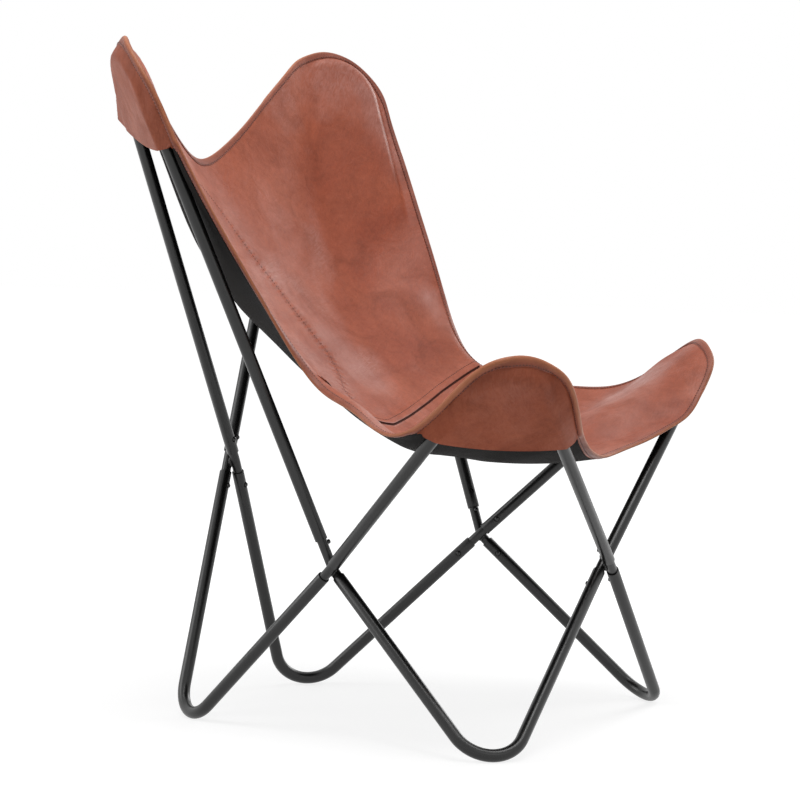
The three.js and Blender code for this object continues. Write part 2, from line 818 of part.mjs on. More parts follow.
// Canvas lining under the leather, ending a little inside the binding
place('canvas_lining',
  thicken(netPoints, netNormals, cells(0, stations.length, 2), -underLeather, -underLeather - liningThickness),
  blackCanvas);

// Pockets: behind a loop, from the outline to a lower edge that the two legs come out of
const pocketDrop = leather + pocketGap;
const pocketSkins = new Map();

function pocketPoint(loop, base, floorHeight) {
  const { outside, height } = overLoop(loop, base);
  const wanted = Math.min(height, floorHeight);
  const limit = roomOver(outside, pocketRoom);
  return base.clone().addScaledVector(loop.face, -softMax(-wanted, limit) - height);
}

// Shares of a pocket column where its rows lie: two about the tube, then even steps to the lower edge
function pocketShares(loop, from, way) {
  const shareWhere = (outside, least) => {
    for (let share = least; share < 1; share += rowProbeShare) {
      if (overLoop(loop, from.clone().addScaledVector(way, share)).outside <= outside) return share;
    }
    return least;
  };
  const leastShare = Math.min(1 / pocketRows, ringStep / way.length());
  const besideTube = shareWhere(ringBesideTube, leastShare);
  const overTube = shareWhere(ringOverTube, Math.min(besideTube + leastShare, mix(besideTube, 1, 1 / 2)));
  const shares = [besideTube, overTube];
  for (let i = 1; i <= pocketRows - 2; i++) shares.push(mix(overTube, 1, i / (pocketRows - 2)));
  return shares;
}

function pocket(name, side, loop, [first, last], sag) {
  const stationsOf = [];
  for (let k = first; k <= last; k++) stationsOf.push(side > 0 ? k : -k);
  const edgeRow = stationsOf.map((k) => netPoints[netIndex(k, 0)].clone()
    .addScaledVector(netNormals[netIndex(k, 0)], -pocketDrop));
  const lineRow = stationsOf.map((k) => {
    const base = netPoints[netIndex(k, 1)].clone().addScaledVector(netNormals[netIndex(k, 1)], -pocketDrop);
    return pocketPoint(loop, base, Infinity);
  });
  const flat = (point) => point.clone().addScaledVector(loop.face, -overLoop(loop, point).height);
  const [start, finish] = [lineRow[0], lineRow[lineRow.length - 1]];
  const rows = [edgeRow, lineRow];
  const columns = lineRow.map((line, i) => {
    const u = i / (lineRow.length - 1);
    const swell = Math.min(1, 4 * u * (1 - u));
    const lower = flat(start).lerp(flat(finish), u).addScaledVector(loop.point, -sag * swell);
    const stub = flat(line).sub(flat(edgeRow[i])).setLength(ringStep);
    const way = flat(line).add(stub).lerp(lower, Math.min(1, 2 * swell)).sub(flat(line));
    return { line, swell, way, shares: pocketShares(loop, flat(line), way) };
  });
  for (let r = 0; r < pocketRows; r++) {
    rows.push(columns.map(({ line, swell, way, shares }) => {
      const share = shares[r];
      const lineHeight = overLoop(loop, line).height;
      const height = mix(lineHeight - pocketDrop * share, -pocketRoom, Math.min(1, 3 * swell * share));
      const base = flat(line).addScaledVector(way, share).addScaledVector(loop.face, height);
      return pocketPoint(loop, base, height);
    }));
  }
  const points = rows.flat();
  const width = lineRow.length;
  const triangles = [];
  for (let r = 0; r + 1 < rows.length; r++) {
    for (let i = 0; i + 1 < width; i++) {
      const [a, b, c, d] = [r * width + i, (r + 1) * width + i, (r + 1) * width + i + 1, r * width + i + 1];
      if (side > 0) quad(triangles, a, b, c, d);
      else quad(triangles, d, c, b, a);
    }
  }
  const normals = normalsOf(points, triangles);
  stationsOf.forEach((k, i) => pocketSkins.set((k + stations.length) % stations.length, {
    edge: points[i].clone().addScaledVector(normals[i], -leather / 2),
    line: points[width + i].clone().addScaledVector(normals[width + i], -leather / 2),
    edgeUp: normals[i],
    lineUp: normals[width + i],
    widthShare: i === 0 || i + 1 === width ? pocketEndShare : 1,
  }));
  place(name, thicken(points, normals, triangles, leather / 2, -leather / 2), tanLeather);
}

for (const [word, side] of [['right', -1], ['left', 1]]) {
  pocket(`back_pocket_${word}`, side, tips.back[side], backPocketSteps, backPocketSag);
  pocket(`front_pocket_${word}`, side, tips.front[side], frontPocketSteps, frontPocketSag);
}

// Binding: a folded strip round the whole outline, over the leather and under it or under a pocket
function bindingSection(k) {
  const [edge, line] = [netIndex(k, 0), netIndex(k, 1)];
  const [edgePoint, linePoint] = [netPoints[edge], netPoints[line]];
  const [edgeUp, lineUp] = [netNormals[edge], netNormals[line]];
  const outwards = edgePoint.clone().sub(linePoint).normalize();
  const above = leather / 2 + bindingGap;
  const skin = pocketSkins.get(k) || {
    edge: edgePoint.clone().addScaledVector(edgeUp, -leather / 2),
    line: linePoint.clone().addScaledVector(lineUp, -leather / 2),
    edgeUp,
    lineUp,
    widthShare: 1,
  };
  const skinOutwards = skin.edge.clone().sub(skin.line).normalize();
  const underLine = skin.edge.clone().lerp(skin.line, skin.widthShare);
  const underLineUp = skin.edgeUp.clone().lerp(skin.lineUp, skin.widthShare);
  const from = (point, way, distance, aside = outwards, out = 0) => point.clone()
    .addScaledVector(way, distance)
    .addScaledVector(aside, out);
  const thick = bindingGap + bindingThickness;
  return [
    from(linePoint, lineUp, above + bindingThickness),
    from(edgePoint, edgeUp, above + bindingThickness, outwards, thick),
    from(skin.edge, skin.edgeUp, -thick, skinOutwards, thick),
    from(underLine, underLineUp, -thick),
    from(underLine, underLineUp, -bindingGap),
    from(skin.edge, skin.edgeUp, -bindingGap, skinOutwards, bindingGap),
    from(edgePoint, edgeUp, above, outwards, bindingGap),
    from(linePoint, lineUp, above),
  ];
}

const sections = stations.map((_, k) => bindingSection(k));
const bindingCorners = sections[0].length;
// The face under the leather is split the same way as the leather above it
const underFace = 4;
const bindingIndex = [];
for (let k = 0; k < sections.length; k++) {
  const next = (k + 1) % sections.length;
  for (let i = 0; i < bindingCorners; i++) {
    const j = (i + 1) % bindingCorners;
    const [a, b, c, d] = [k, next].flatMap((at) => [at * bindingCorners + i, at * bindingCorners + j]);
    if (i === underFace) bindingIndex.push(a, c, b, b, c, d);
    else bindingIndex.push(a, d, b, a, c, d);
  }
}
const binding = new THREE.BufferGeometry();
binding.setAttribute('position', new THREE.Float32BufferAttribute(
  sections.flat().flatMap((point) => point.toArray()), 3));
binding.setIndex(bindingIndex);
place('edge_binding', binding, edgeLeather);

// Until here the frame's middle was the origin: now it moves under the middle of the whole chair
const bounds = new THREE.Box3().setFromObject(chair);
const centre = bounds.getCenter(new THREE.Vector3());
chair.position.set(-centre.x, -centre.y, -bounds.min.z);

export default chair;
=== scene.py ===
import math

import bmesh
import bpy
import numpy as np
from mathutils import Matrix, Vector, noise
from mathutils.bvhtree import BVHTree


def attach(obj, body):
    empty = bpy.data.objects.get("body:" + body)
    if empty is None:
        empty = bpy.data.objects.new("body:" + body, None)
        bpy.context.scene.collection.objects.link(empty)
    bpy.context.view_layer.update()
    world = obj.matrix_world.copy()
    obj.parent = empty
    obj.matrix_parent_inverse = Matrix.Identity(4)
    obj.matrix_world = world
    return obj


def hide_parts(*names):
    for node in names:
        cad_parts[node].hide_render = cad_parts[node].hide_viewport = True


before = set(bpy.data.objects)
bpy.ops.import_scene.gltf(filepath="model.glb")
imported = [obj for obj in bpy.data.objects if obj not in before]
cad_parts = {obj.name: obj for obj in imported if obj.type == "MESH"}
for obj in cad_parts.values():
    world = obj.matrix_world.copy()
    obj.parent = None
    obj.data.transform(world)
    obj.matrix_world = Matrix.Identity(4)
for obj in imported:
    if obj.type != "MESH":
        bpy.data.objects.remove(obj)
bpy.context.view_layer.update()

# A butterfly chair: bent black tubes in welded X connectors, and a leather sling on the four upper
# loops. The shapes follow the same sizes as the solids, in millimetres about the frame's middle,
# and are laid down in metres.
MM = 0.001
FRAME_OFFSET = np.array([2.593, 11.054, 0.0])


def unit(v):
    return v / np.linalg.norm(v, axis=-1, keepdims=True)


def vec(*v):
    return np.array(v, float)


UP = vec(0, 0, 1)

# Camera
IMAGE_SIDE = 800
FOCAL_PIXELS = 3272.275
CAMERA_PLACE = vec(-3911.39, -1696.49, 693.005)
YAW, PITCH, TILT = 0.4098, -0.0657, 0.0214

forward = vec(math.cos(PITCH) * math.cos(YAW), math.cos(PITCH) * math.sin(YAW), math.sin(PITCH))
sideways = unit(np.cross(forward, UP))
upwards = np.cross(sideways, forward)
camera_right = math.cos(TILT) * sideways + math.sin(TILT) * upwards
camera_up = math.cos(TILT) * upwards - math.sin(TILT) * sideways

# Sizes, as in the solids
TUBE_RADIUS = 8.0
BORE_RADIUS = 6.9
STUB_RADIUS = 6.3
STUB_BORE = 5.0
WELD_BITE = 0.6
STUB_LENGTH = 60.0
LOOSE_STUB_LENGTH = 70.0
TUBE_GAPS = {"right": 12.0, "left": 12.0, "back": 15.0, "front": 12.0}
LOOSE_GAP = 40.0
BUTTON_FROM_CROSSING = 35.0
HOLE_FROM_TUBE_END = 22.0
BUTTON_RADIUS = 3.0
BUTTON_TOP = 10.3
BUTTON_TURN = 30.0
FOOT_BEND = 48.0
BACK_BEND = 54.0
FRONT_BEND = 50.0
LEATHER = 2.4
LINING = 0.8
BACK_HALF_WIDTH = 376.0
IMPRINT_LENGTH = 16.0
IMPRINT_SOFTNESS = 2.5
IMPRINT_REACH = 25.0
SIDE_CROSSING = vec(243, -15, 214)
BACK_CROSSING = vec(0, 246, 319)
FRONT_CROSSING = vec(0, -289, 215)


def layers_of(middle, out):
    """The middles of a connector's outer and inner stub."""
    half = (2 * STUB_RADIUS - WELD_BITE) / 2
    return [middle + out * half, middle - out * half]


# Frame loops
CROSSINGS = {
    "right": layers_of(SIDE_CROSSING * vec(-1, 1, 1), vec(-1, 0, 0)),
    "left": layers_of(SIDE_CROSSING, vec(1, 0, 0)),
    "back": layers_of(BACK_CROSSING, vec(0, 1, 0)),
    "front": layers_of(FRONT_CROSSING, vec(0, -1, 0)),
}


def make_loop(name, corner, ends, bend, facing):
    legs = []
    for crossing, layer, gap in ends:
        at = CROSSINGS[crossing][layer]
        way = unit(at - corner)
        legs.append({"crossing": crossing, "layer": layer, "at": at, "way": way, "gap": gap,
                     "end": at - way * gap})
    point = -unit(legs[0]["way"] + legs[1]["way"])
    face = unit(np.cross(legs[0]["way"], legs[1]["way"]))
    if face @ facing < 0:
        face = -face
    across = np.cross(face, point)
    if across @ legs[0]["way"] < 0:
        across = -across
    half_angle = math.acos(-point @ legs[0]["way"])
    centre = corner - point * bend / math.sin(half_angle)
    return {"name": name, "legs": legs, "point": point, "face": face, "across": across,
            "half_angle": half_angle, "centre": centre, "bend": bend}


def floor_loop(name, x, y, ends):
    """A lower loop, with the height of its corner found so that the tube touches the floor."""
    height = 0.0
    for _ in range(8):
        loop = make_loop(name, vec(x, y, height), ends, FOOT_BEND, UP)
        drop = loop["bend"] * math.hypot(loop["point"][2], loop["across"][2])
        height -= loop["centre"][2] - drop - TUBE_RADIUS
    return loop


def upper_loop(name, x, y, z, bend, ends):
    return make_loop(name, vec(x, y, z), ends, bend, unit(vec(-x, -y, 0)) * 2 + UP)


def end(crossing, layer, gap=None):
    return (crossing, layer, TUBE_GAPS[crossing] if gap is None else gap)


LOOPS = [
    floor_loop("back_foot_tube_right", -173, 237, [end("right", 0), end("back", 0)]),
    floor_loop("back_foot_tube_left", 173, 237, [end("left", 1), end("back", 1)]),
    floor_loop("front_foot_tube_right", -306, -268, [end("right", 1), end("front", 1)]),
    floor_loop("front_foot_tube_left", 306, -268, [end("left", 0), end("front", 0)]),
    upper_loop("back_tip_tube_right", -376, 295, 1033, BACK_BEND,
               [end("right", 1, LOOSE_GAP), end("back", 1)]),
    upper_loop("back_tip_tube_left", 376, 295, 1033, BACK_BEND,
               [end("left", 0, LOOSE_GAP), end("back", 0)]),
    upper_loop("front_tip_tube_right", -393, -313, 525, FRONT_BEND,
               [end("right", 0), end("front", 0)]),
    upper_loop("front_tip_tube_left", 393, -313, 525, FRONT_BEND,
               [end("left", 1), end("front", 1)]),
]
LOOP = {loop["name"]: loop for loop in LOOPS}
INWARDS = {"right": vec(0.96, -0.28, 0), "left": vec(-0.96, -0.28, 0),
           "back": vec(0, -1, 0), "front": vec(0, 1, 0)}


def turned(v, axis, angle):
    return (v * math.cos(angle) + np.cross(axis, v) * math.sin(angle) +
            axis * (axis @ v) * (1 - math.cos(angle)))


def arm_of(loop, leg):
    """A connector's arm: where a tube, its stub and the lock button lie, and where they face."""
    crossing, along = leg["crossing"], -leg["way"]
    loose = leg["gap"] == LOOSE_GAP
    look = unit(INWARDS[crossing] - along * (INWARDS[crossing] @ along))
    if loose:
        look = turned(look, along, math.radians(BUTTON_TURN) * (-1 if crossing == "right" else 1))
    button = leg["at"] + along * BUTTON_FROM_CROSSING
    return {
        "name": f"{loop['name'].replace('_tube', '')}_at_{crossing}", "tube": loop["name"],
        "crossing": crossing, "layer": leg["layer"], "at": leg["at"], "along": along,
        "look": look, "aside": np.cross(look, along), "button": button,
        "hole": leg["at"] + along * (leg["gap"] + HOLE_FROM_TUBE_END) if loose else button,
        "length": LOOSE_STUB_LENGTH if loose else STUB_LENGTH,
    }


ARMS = [arm_of(loop, leg) for loop in LOOPS for leg in loop["legs"]]

# Mesh helpers: points in millimetres about the frame's middle
MERGE_DISTANCE = 1e-6
PIPE_LIP = 0.5


def grid_faces(rows, columns, loop_rows=False, loop_columns=True):
    """Quads between the rows of a grid, with the last row or column joined to the first."""
    faces = []
    for i in range(rows if loop_rows else rows - 1):
        k = (i + 1) % rows
        for j in range(columns if loop_columns else columns - 1):
            m = (j + 1) % columns
            faces.append((i * columns + j, i * columns + m, k * columns + m, k * columns + j))
    return faces


def tube_faces(rows, columns):
    """Faces of a tube of rings that is closed at both ends."""
    last = (rows - 1) * columns
    caps = [tuple(reversed(range(columns))), tuple(range(last, last + columns))]
    return grid_faces(rows, columns) + caps


def ring_points(centre, a, b, radius, sides):
    """Points round a circle in the plane of a and b."""
    turns = np.linspace(0, 2 * math.pi, sides, endpoint=False)
    return centre + radius * (np.outer(np.cos(turns), a) + np.outer(np.sin(turns), b))


def new_object(name, points, faces, material=None, angle=None, merge=False):
    """A smooth object with its faces turned out, sharp only at edges of more than the angle."""
    mesh = bpy.data.meshes.new(name)
    mesh.from_pydata(((np.asarray(points, float) + FRAME_OFFSET) * MM).tolist(), [], faces)
    mesh.validate()
    if material:
        mesh.materials.append(material)
    work = bmesh.new()
    work.from_mesh(mesh)
    if merge:
        bmesh.ops.remove_doubles(work, verts=work.verts, dist=MERGE_DISTANCE)
    bmesh.ops.recalc_face_normals(work, faces=work.faces)
    work.to_mesh(mesh)
    work.free()
    mesh.shade_smooth()
    if angle is not None:
        mesh.set_sharp_from_angle(angle=math.radians(angle))
    made = bpy.data.objects.new(name, mesh)
    bpy.context.scene.collection.objects.link(made)
    return made


def keep(made, slot, *nodes, body="root"):
    """Puts a piece in place of its solids and on its body; the slot is not used."""
    if nodes:
        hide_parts(*nodes)
    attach(made, body)


def pipe_shell(path, tangents, reference, outer, inner, sides):
    """An open pipe with a wall: outside, rounded mouths and bore in one closed surface."""
    last = len(path) - 1
    mouth = [(outer - PIPE_LIP, 0.0), (outer - 0.3 * PIPE_LIP, 0.15 * PIPE_LIP), (outer, PIPE_LIP)]
    rings = [(0, radius, shift) for radius, shift in mouth]
    rings += [(i, outer, 0.0) for i in range(1, last)]
    rings += [(last, radius, -shift) for radius, shift in reversed(mouth)]
    rings += [(i, inner, 0.0) for i in range(last, -1, -1)]
    points = []
    for i, radius, shift in rings:
        b = unit(np.cross(tangents[i], reference))
        n = unit(np.cross(b, tangents[i]))
        points.append(ring_points(path[i] + tangents[i] * shift, n, b, radius, sides))
    return np.concatenate(points), grid_faces(len(rings), sides, loop_rows=True)


def cylinder(centre, axis, reference, radius, start, stop, sides=24):
    b = unit(np.cross(axis, reference))
    n = np.cross(b, axis)
    rings = [ring_points(centre + axis * shift, n, b, radius, sides) for shift in (start, stop)]
    return np.concatenate(rings), tube_faces(2, sides)


def drill(target, cutters):
    """Cuts holes and bakes the result into the mesh."""
    made = []
    for i, (points, faces) in enumerate(cutters):
        cut = target.modifiers.new(f"hole_{i}", "BOOLEAN")
        cut.object = new_object(f"cutter_{i}", points, faces)
        cut.operation = "DIFFERENCE"
        cut.solver = "EXACT"
        made.append(cut.object)
    graph = bpy.context.evaluated_depsgraph_get()
    mesh = bpy.data.meshes.new_from_object(target.evaluated_get(graph))
    target.modifiers.clear()
    spent = [target.data] + [cutter.data for cutter in made]
    target.data = mesh
    for cutter in made:
        bpy.data.objects.remove(cutter)
    for data in spent:
        bpy.data.meshes.remove(data)
    mesh.shade_smooth()
    mesh.set_sharp_from_angle(angle=math.radians(32))


# Materials
class Nodes:
    """Adds shader nodes. A socket takes a plain value or another node's output."""

    def __init__(self, owner):
        owner.use_nodes = True
        self.owner = owner
        self.tree = owner.node_tree
        self.place = self.add("TexCoord", output="Object")

    def add(self, kind, inputs=(), output=0, **settings):
        node = self.tree.nodes.new("ShaderNode" + kind)
        for key, value in settings.items():
            setattr(node, key, value)
        self.fill(node, inputs)
        return node.outputs[output]

    def fill(self, node, inputs):
        for key, value in dict(inputs).items():
            if isinstance(value, bpy.types.NodeSocket):
                self.tree.links.new(value, node.inputs[key])
            else:
                node.inputs[key].default_value = value

    def noise(self, scale, detail=4.0, roughness=0.55, distortion=0.0, stretch=None):
        place = self.place
        if stretch:
            place = self.add("Mapping", {"Vector": place, "Scale": stretch[0],
                                         "Rotation": stretch[1]})
        return self.add("TexNoise", {"Vector": place, "Scale": scale, "Detail": detail,
                                     "Roughness": roughness, "Distortion": distortion}, "Fac")

    def ramp(self, value, stops):
        """A ramp of colours, each three numbers or one for a grey."""
        colour_out = self.add("ValToRGB", {"Fac": value}, "Color")
        ramp = colour_out.node.color_ramp
        while len(ramp.elements) < len(stops):
            ramp.elements.new(0.5)
        for element, (at, colour) in zip(ramp.elements, stops):
            element.position = at
            element.color = (*colour, 1) if isinstance(colour, tuple) else (*(colour,) * 3, 1)
        return colour_out

    def map(self, value, low, high, to_low, to_high):
        return self.add("MapRange", {"Value": value, "From Min": low, "From Max": high,
                                     "To Min": to_low, "To Max": to_high}, "Result")

    def mix(self, share, a, b, blend="MIX"):
        a, b = ((*colour, 1) if isinstance(colour, tuple) else colour for colour in (a, b))
        return self.add("Mix", {0: share, 6: a, 7: b}, 2, data_type="RGBA", blend_type=blend)

    def tint(self, colour, share, value, stops):
        """Multiplies a colour by a ramp."""
        return self.mix(share, colour, self.ramp(value, stops), "MULTIPLY")

    def math(self, operation, a, b=0.0):
        return self.add("Math", {0: a, 1: b}, operation=operation)

    def bump(self, height, distance, strength, below=None):
        inputs = {"Height": height, "Distance": distance, "Strength": strength}
        if below is not None:
            inputs["Normal"] = below
        return self.add("Bump", inputs, "Normal")

    def attribute(self, name):
        return self.add("Attribute", output="Fac", attribute_name=name)

    def finish(self, colour, roughness, normal, **sockets):
        sockets = {key.replace("_", " "): value for key, value in sockets.items()}
        self.fill(self.tree.nodes["Principled BSDF"],
                  {"Base Color": colour, "Roughness": roughness, "Normal": normal, **sockets})
        return self.owner


def new_material(name):
    return Nodes(bpy.data.materials.new(name))


# Pale bloom of the leather, and the colour of the painted sheen patches
PALE = (0.42, 0.2, 0.165)
# Dark raw edge of the cross seam's lap, and the colour of the painted shadow in front of it
EDGE_AND_SHADOW_DARK = (0.055, 0.014, 0.008)


def leather_material(name, dark, mid, light, rub_and_highlight, sheen_patch=1.0, gloss=0.27):
    """Pull-up leather: cloudy colour, pale rubbed patches, painted sheen, highlight and shadow,
    fine pores and long soft creases.
    """
    n = new_material(name)
    cloud = n.noise(5.5, 5.0, 0.6, 0.6)
    patch = n.noise(17.0, 6.0, 0.62, 0.9)
    fleck = n.noise(140.0, 5.0, 0.7, 0.4)
    scratch = n.noise(60.0, 6.0, 0.65, 1.5, ((1.0, 5.0, 1.0), (0.5, 0.2, 0.7)))
    bloom_and_sheen = n.noise(7.5, 3.0, 0.5, 0.3)
    colour = n.ramp(cloud, [(0.32, dark), (0.5, mid), (0.68, light)])
    colour = n.tint(colour, 0.85, patch,
                    [(0.3, (0.76, 0.72, 0.68)), (0.52, 1.0), (0.72, (1.16, 1.15, 1.13))])
    colour = n.tint(colour, 0.6, scratch,
                    [(0.46, (0.93, 0.92, 0.92)), (0.55, 1.0), (0.66, (1.1, 1.09, 1.08))])
    colour = n.tint(colour, 0.9, fleck, [(0.38, (0.9, 0.89, 0.88)), (0.5, 1.0), (0.66, 1.07)])
    pale = n.math("MULTIPLY", n.map(bloom_and_sheen, 0.5, 0.68, 0.0, 0.5 * sheen_patch),
                  n.map(scratch, 0.4, 0.6, 0.4, 1.0))
    # Painted sheen: pale patches painted where the leather shows a soft reflection of the light
    painted = n.math("MULTIPLY", n.attribute("bloom_and_sheen"), n.map(patch, 0.35, 0.65, 0.45, 1.0))
    pale = n.math("MINIMUM", n.math("ADD", pale, painted), 0.85)
    colour = n.mix(pale, colour, PALE)
    # Rubbed pale edges, with a painted highlight on the right front lobe's upturned roll
    colour = n.mix(n.attribute("rub_and_highlight"), colour, rub_and_highlight)
    # Dark raw edge of the seam's lap, and a painted shadow just in front of it
    edge_and_shadow_share = n.attribute("edge_and_painted_shadow")
    colour = n.mix(edge_and_shadow_share, colour, EDGE_AND_SHADOW_DARK)
    pores = n.add("TexVoronoi", {"Vector": n.place, "Scale": 1500.0}, "Distance")
    normal = n.bump(pores, 0.00012, 0.35)
    normal = n.bump(n.noise(650.0, 3.0, 0.6), 0.00018, 0.4, normal)
    normal = n.bump(scratch, 0.0006, 0.35, normal)
    normal = n.bump(n.noise(38.0, 4.0, 0.6, 0.7), 0.0028, 0.35, normal)
    gathers = n.math("MULTIPLY", n.attribute("gather"),
                     n.math("SINE", n.attribute("gather_phase")))
    normal = n.bump(gathers, 0.0012, 0.9, normal)
    rough = n.math("SUBTRACT", n.map(patch, 0.3, 0.7, 0.56, 0.42), n.math("MULTIPLY", pale, 0.12))
    rough = n.math("MAXIMUM", rough, n.math("MULTIPLY", edge_and_shadow_share, 0.95))
    return n.finish(colour, rough, normal, Specular_IOR_Level=gloss)


def coat_material(name, value, roughness):
    n = new_material(name)
    wide = n.noise(24.0, 3.0, 0.5)
    colour = n.ramp(wide, [(0.3, value * 0.85), (0.7, value * 1.2)])
    rough = n.map(wide, 0.3, 0.7, roughness - 0.04, roughness + 0.05)
    normal = n.bump(n.noise(900.0, 3.0, 0.6), 0.00012, 0.35)
    return n.finish(colour, rough, normal, Specular_IOR_Level=0.5)


def steel_material(name, value, roughness):
    n = new_material(name)
    brushed = n.noise(700.0, 3.0, 0.6, 0.0, ((1.0, 1.0, 9.0), (0.0, 0.0, 0.0)))
    colour = n.ramp(brushed, [(0.3, value * 0.9), (0.7, (value * 1.1, value * 1.1, value * 1.12))])
    rough = n.map(brushed, 0.3, 0.7, roughness - 0.05, roughness + 0.08)
    return n.finish(colour, rough, n.bump(brushed, 0.00008, 0.3), Metallic=1.0)


def canvas_material(name):
    n = new_material(name)
    waves = [n.add("TexWave", {"Vector": n.place, "Scale": 300.0, "Distortion": 0.6, "Detail": 1.0},
                   "Fac", wave_type="BANDS", bands_direction=direction) for direction in "XY"]
    weave = n.math("MULTIPLY", *waves)
    cloud = n.noise(14.0, 4.0, 0.6)
    colour = n.ramp(cloud, [(0.3, (0.007, 0.006, 0.006)), (0.7, (0.014, 0.012, 0.011))])
    colour = n.tint(colour, 0.8, weave, [(0.1, 0.7), (0.8, (1.25, 1.22, 1.2))])
    lint = n.map(n.noise(400.0, 4.0, 0.7), 0.6, 0.75, 0.0, 0.25)
    colour = n.mix(lint, colour, (0.05, 0.045, 0.042))
    rough = n.map(cloud, 0.3, 0.7, 0.82, 0.92)
    return n.finish(colour, rough, n.bump(weave, 0.0003, 0.5), Specular_IOR_Level=0.12)


def thread_material(name, colour):
    n = new_material(name)
    twist = n.noise(1800.0, 2.0, 0.5)
    dark, light = (tuple(part * share for part in colour) for share in (0.7, 1.25))
    return n.finish(n.ramp(twist, [(0.35, dark), (0.65, light)]),
                    n.map(twist, 0.3, 0.7, 0.6, 0.75), n.bump(twist, 0.0001, 0.5))


sling_leather = leather_material("sling leather", (0.262, 0.055, 0.024), (0.32, 0.0765, 0.0355),
                                 (0.365, 0.096, 0.048), (0.4, 0.15, 0.075))
pocket_leather = leather_material("pocket leather", (0.24, 0.054, 0.025), (0.29, 0.072, 0.034),
                                  (0.33, 0.09, 0.046), (0.4, 0.15, 0.075), 0.35, 0.14)
binding_leather = leather_material("binding leather", (0.18, 0.043, 0.024), (0.225, 0.058, 0.032),
                                   (0.27, 0.078, 0.044), (0.46, 0.165, 0.075), 0.3)
powder_coat = coat_material("black powder coat", 0.005, 0.3)
weld_coat = coat_material("coated weld", 0.005, 0.38)
button_coat = coat_material("black button coat", 0.009, 0.24)
spring_steel = steel_material("leaf spring steel", 0.36, 0.34)
black_canvas = canvas_material("black canvas")
dark_thread = thread_material("dark stitching", (0.075, 0.024, 0.016))

# Frame tubes
ARC_STEPS = 44
TUBE_SIDES = 36
TUBE_HOLE_ROOM = 0.9


def loop_path(loop):
    """A tube's middle line from one end over the bend to the other, and its ways there."""
    first, second = loop["legs"]
    path, tangents = [first["end"]], [-first["way"]]
    limit = math.pi / 2 - loop["half_angle"]
    for a in np.linspace(limit, -limit, ARC_STEPS):
        path.append(loop["centre"] + loop["point"] * loop["bend"] * math.cos(a) +
                    loop["across"] * loop["bend"] * math.sin(a))
        tangents.append(loop["point"] * math.sin(a) - loop["across"] * math.cos(a))
    return path + [second["end"]], tangents + [second["way"]]


for loop in LOOPS:
    points, faces = pipe_shell(*loop_path(loop), loop["face"], TUBE_RADIUS, BORE_RADIUS, TUBE_SIDES)
    tube = new_object(f"smooth_{loop['name']}", points, faces, powder_coat)
    drill(tube, [cylinder(arm["hole"], arm["look"], arm["along"], BUTTON_RADIUS + TUBE_HOLE_ROOM,
                          2.0, BUTTON_TOP + 4) for arm in ARMS if arm["tube"] == loop["name"]])
    keep(tube, "powder_coated_steel", loop["name"])

# Connectors: two crossed stubs and the weld between them
STUB_SIDES = 32
STUB_STEPS = 8
STUB_BEND_STEPS = 12
STUB_CORNER = 9.0
STUB_HOLE_ROOM = 0.45
WELD_RADIUS = 5.4
WELD_STEPS = 72
WELD_SIDES = 16


def stub_path(first, second):
    """A stub's middle line from one end past the crossing to the other, and its ways there."""
    at, a, b = first["at"], first["along"], second["along"]
    start, stop = at + a * STUB_CORNER, at + b * STUB_CORNER
    shares = np.linspace(0, 1, STUB_STEPS)
    bend = np.linspace(0, 1, STUB_BEND_STEPS)[1:-1]
    path = [start + a * (first["length"] - STUB_CORNER) * t for t in shares[::-1]]
    path += [(1 - t) ** 2 * start + 2 * t * (1 - t) * at + t ** 2 * stop for t in bend]
    path += [stop + b * (second["length"] - STUB_CORNER) * t for t in shares]
    tangents = [-a] * STUB_STEPS
    tangents += [unit((1 - t) * (at - start) + t * (stop - at)) for t in bend]
    return path, tangents + [b] * STUB_STEPS


for crossing, layers in CROSSINGS.items():
    own = [arm for arm in ARMS if arm["crossing"] == crossing]
    way = unit(layers[1] - layers[0])
    parts = []
    for layer in (0, 1):
        pair = [arm for arm in own if arm["layer"] == layer]
        points, faces = pipe_shell(*stub_path(*pair), way, STUB_RADIUS, STUB_BORE, STUB_SIDES)
        stub = new_object(f"stub_{crossing}_{layer}", points, faces, powder_coat)
        drill(stub, [cylinder(arm["button"], arm["look"], arm["along"],
                              BUTTON_RADIUS + STUB_HOLE_ROOM, 1.5, 12.0) for arm in pair])
        parts.append(stub)
    # The weld: a lumpy bead that fills the crevice between the two stubs
    middle = (layers[0] + layers[1]) / 2
    u = unit(own[0]["along"] - way * (own[0]["along"] @ way))
    v = np.cross(way, u)
    rings = []
    for a in np.linspace(0, 2 * math.pi, WELD_STEPS, endpoint=False):
        out = u * math.cos(a) + v * math.sin(a)
        ripple = 0.25 * math.sin(13 * a) + 0.15 * math.sin(29 * a + 1)
        rings.append(ring_points(middle + out * (WELD_RADIUS + ripple), out * 2.1, way * 2.5, 1,
                                 WELD_SIDES))
    parts.append(new_object(f"weld_bead_{crossing}", np.concatenate(rings),
                            grid_faces(WELD_STEPS, WELD_SIDES, loop_rows=True), weld_coat))
    for part in parts:
        keep(part, "powder_coated_steel", f"x_connector_{crossing}")

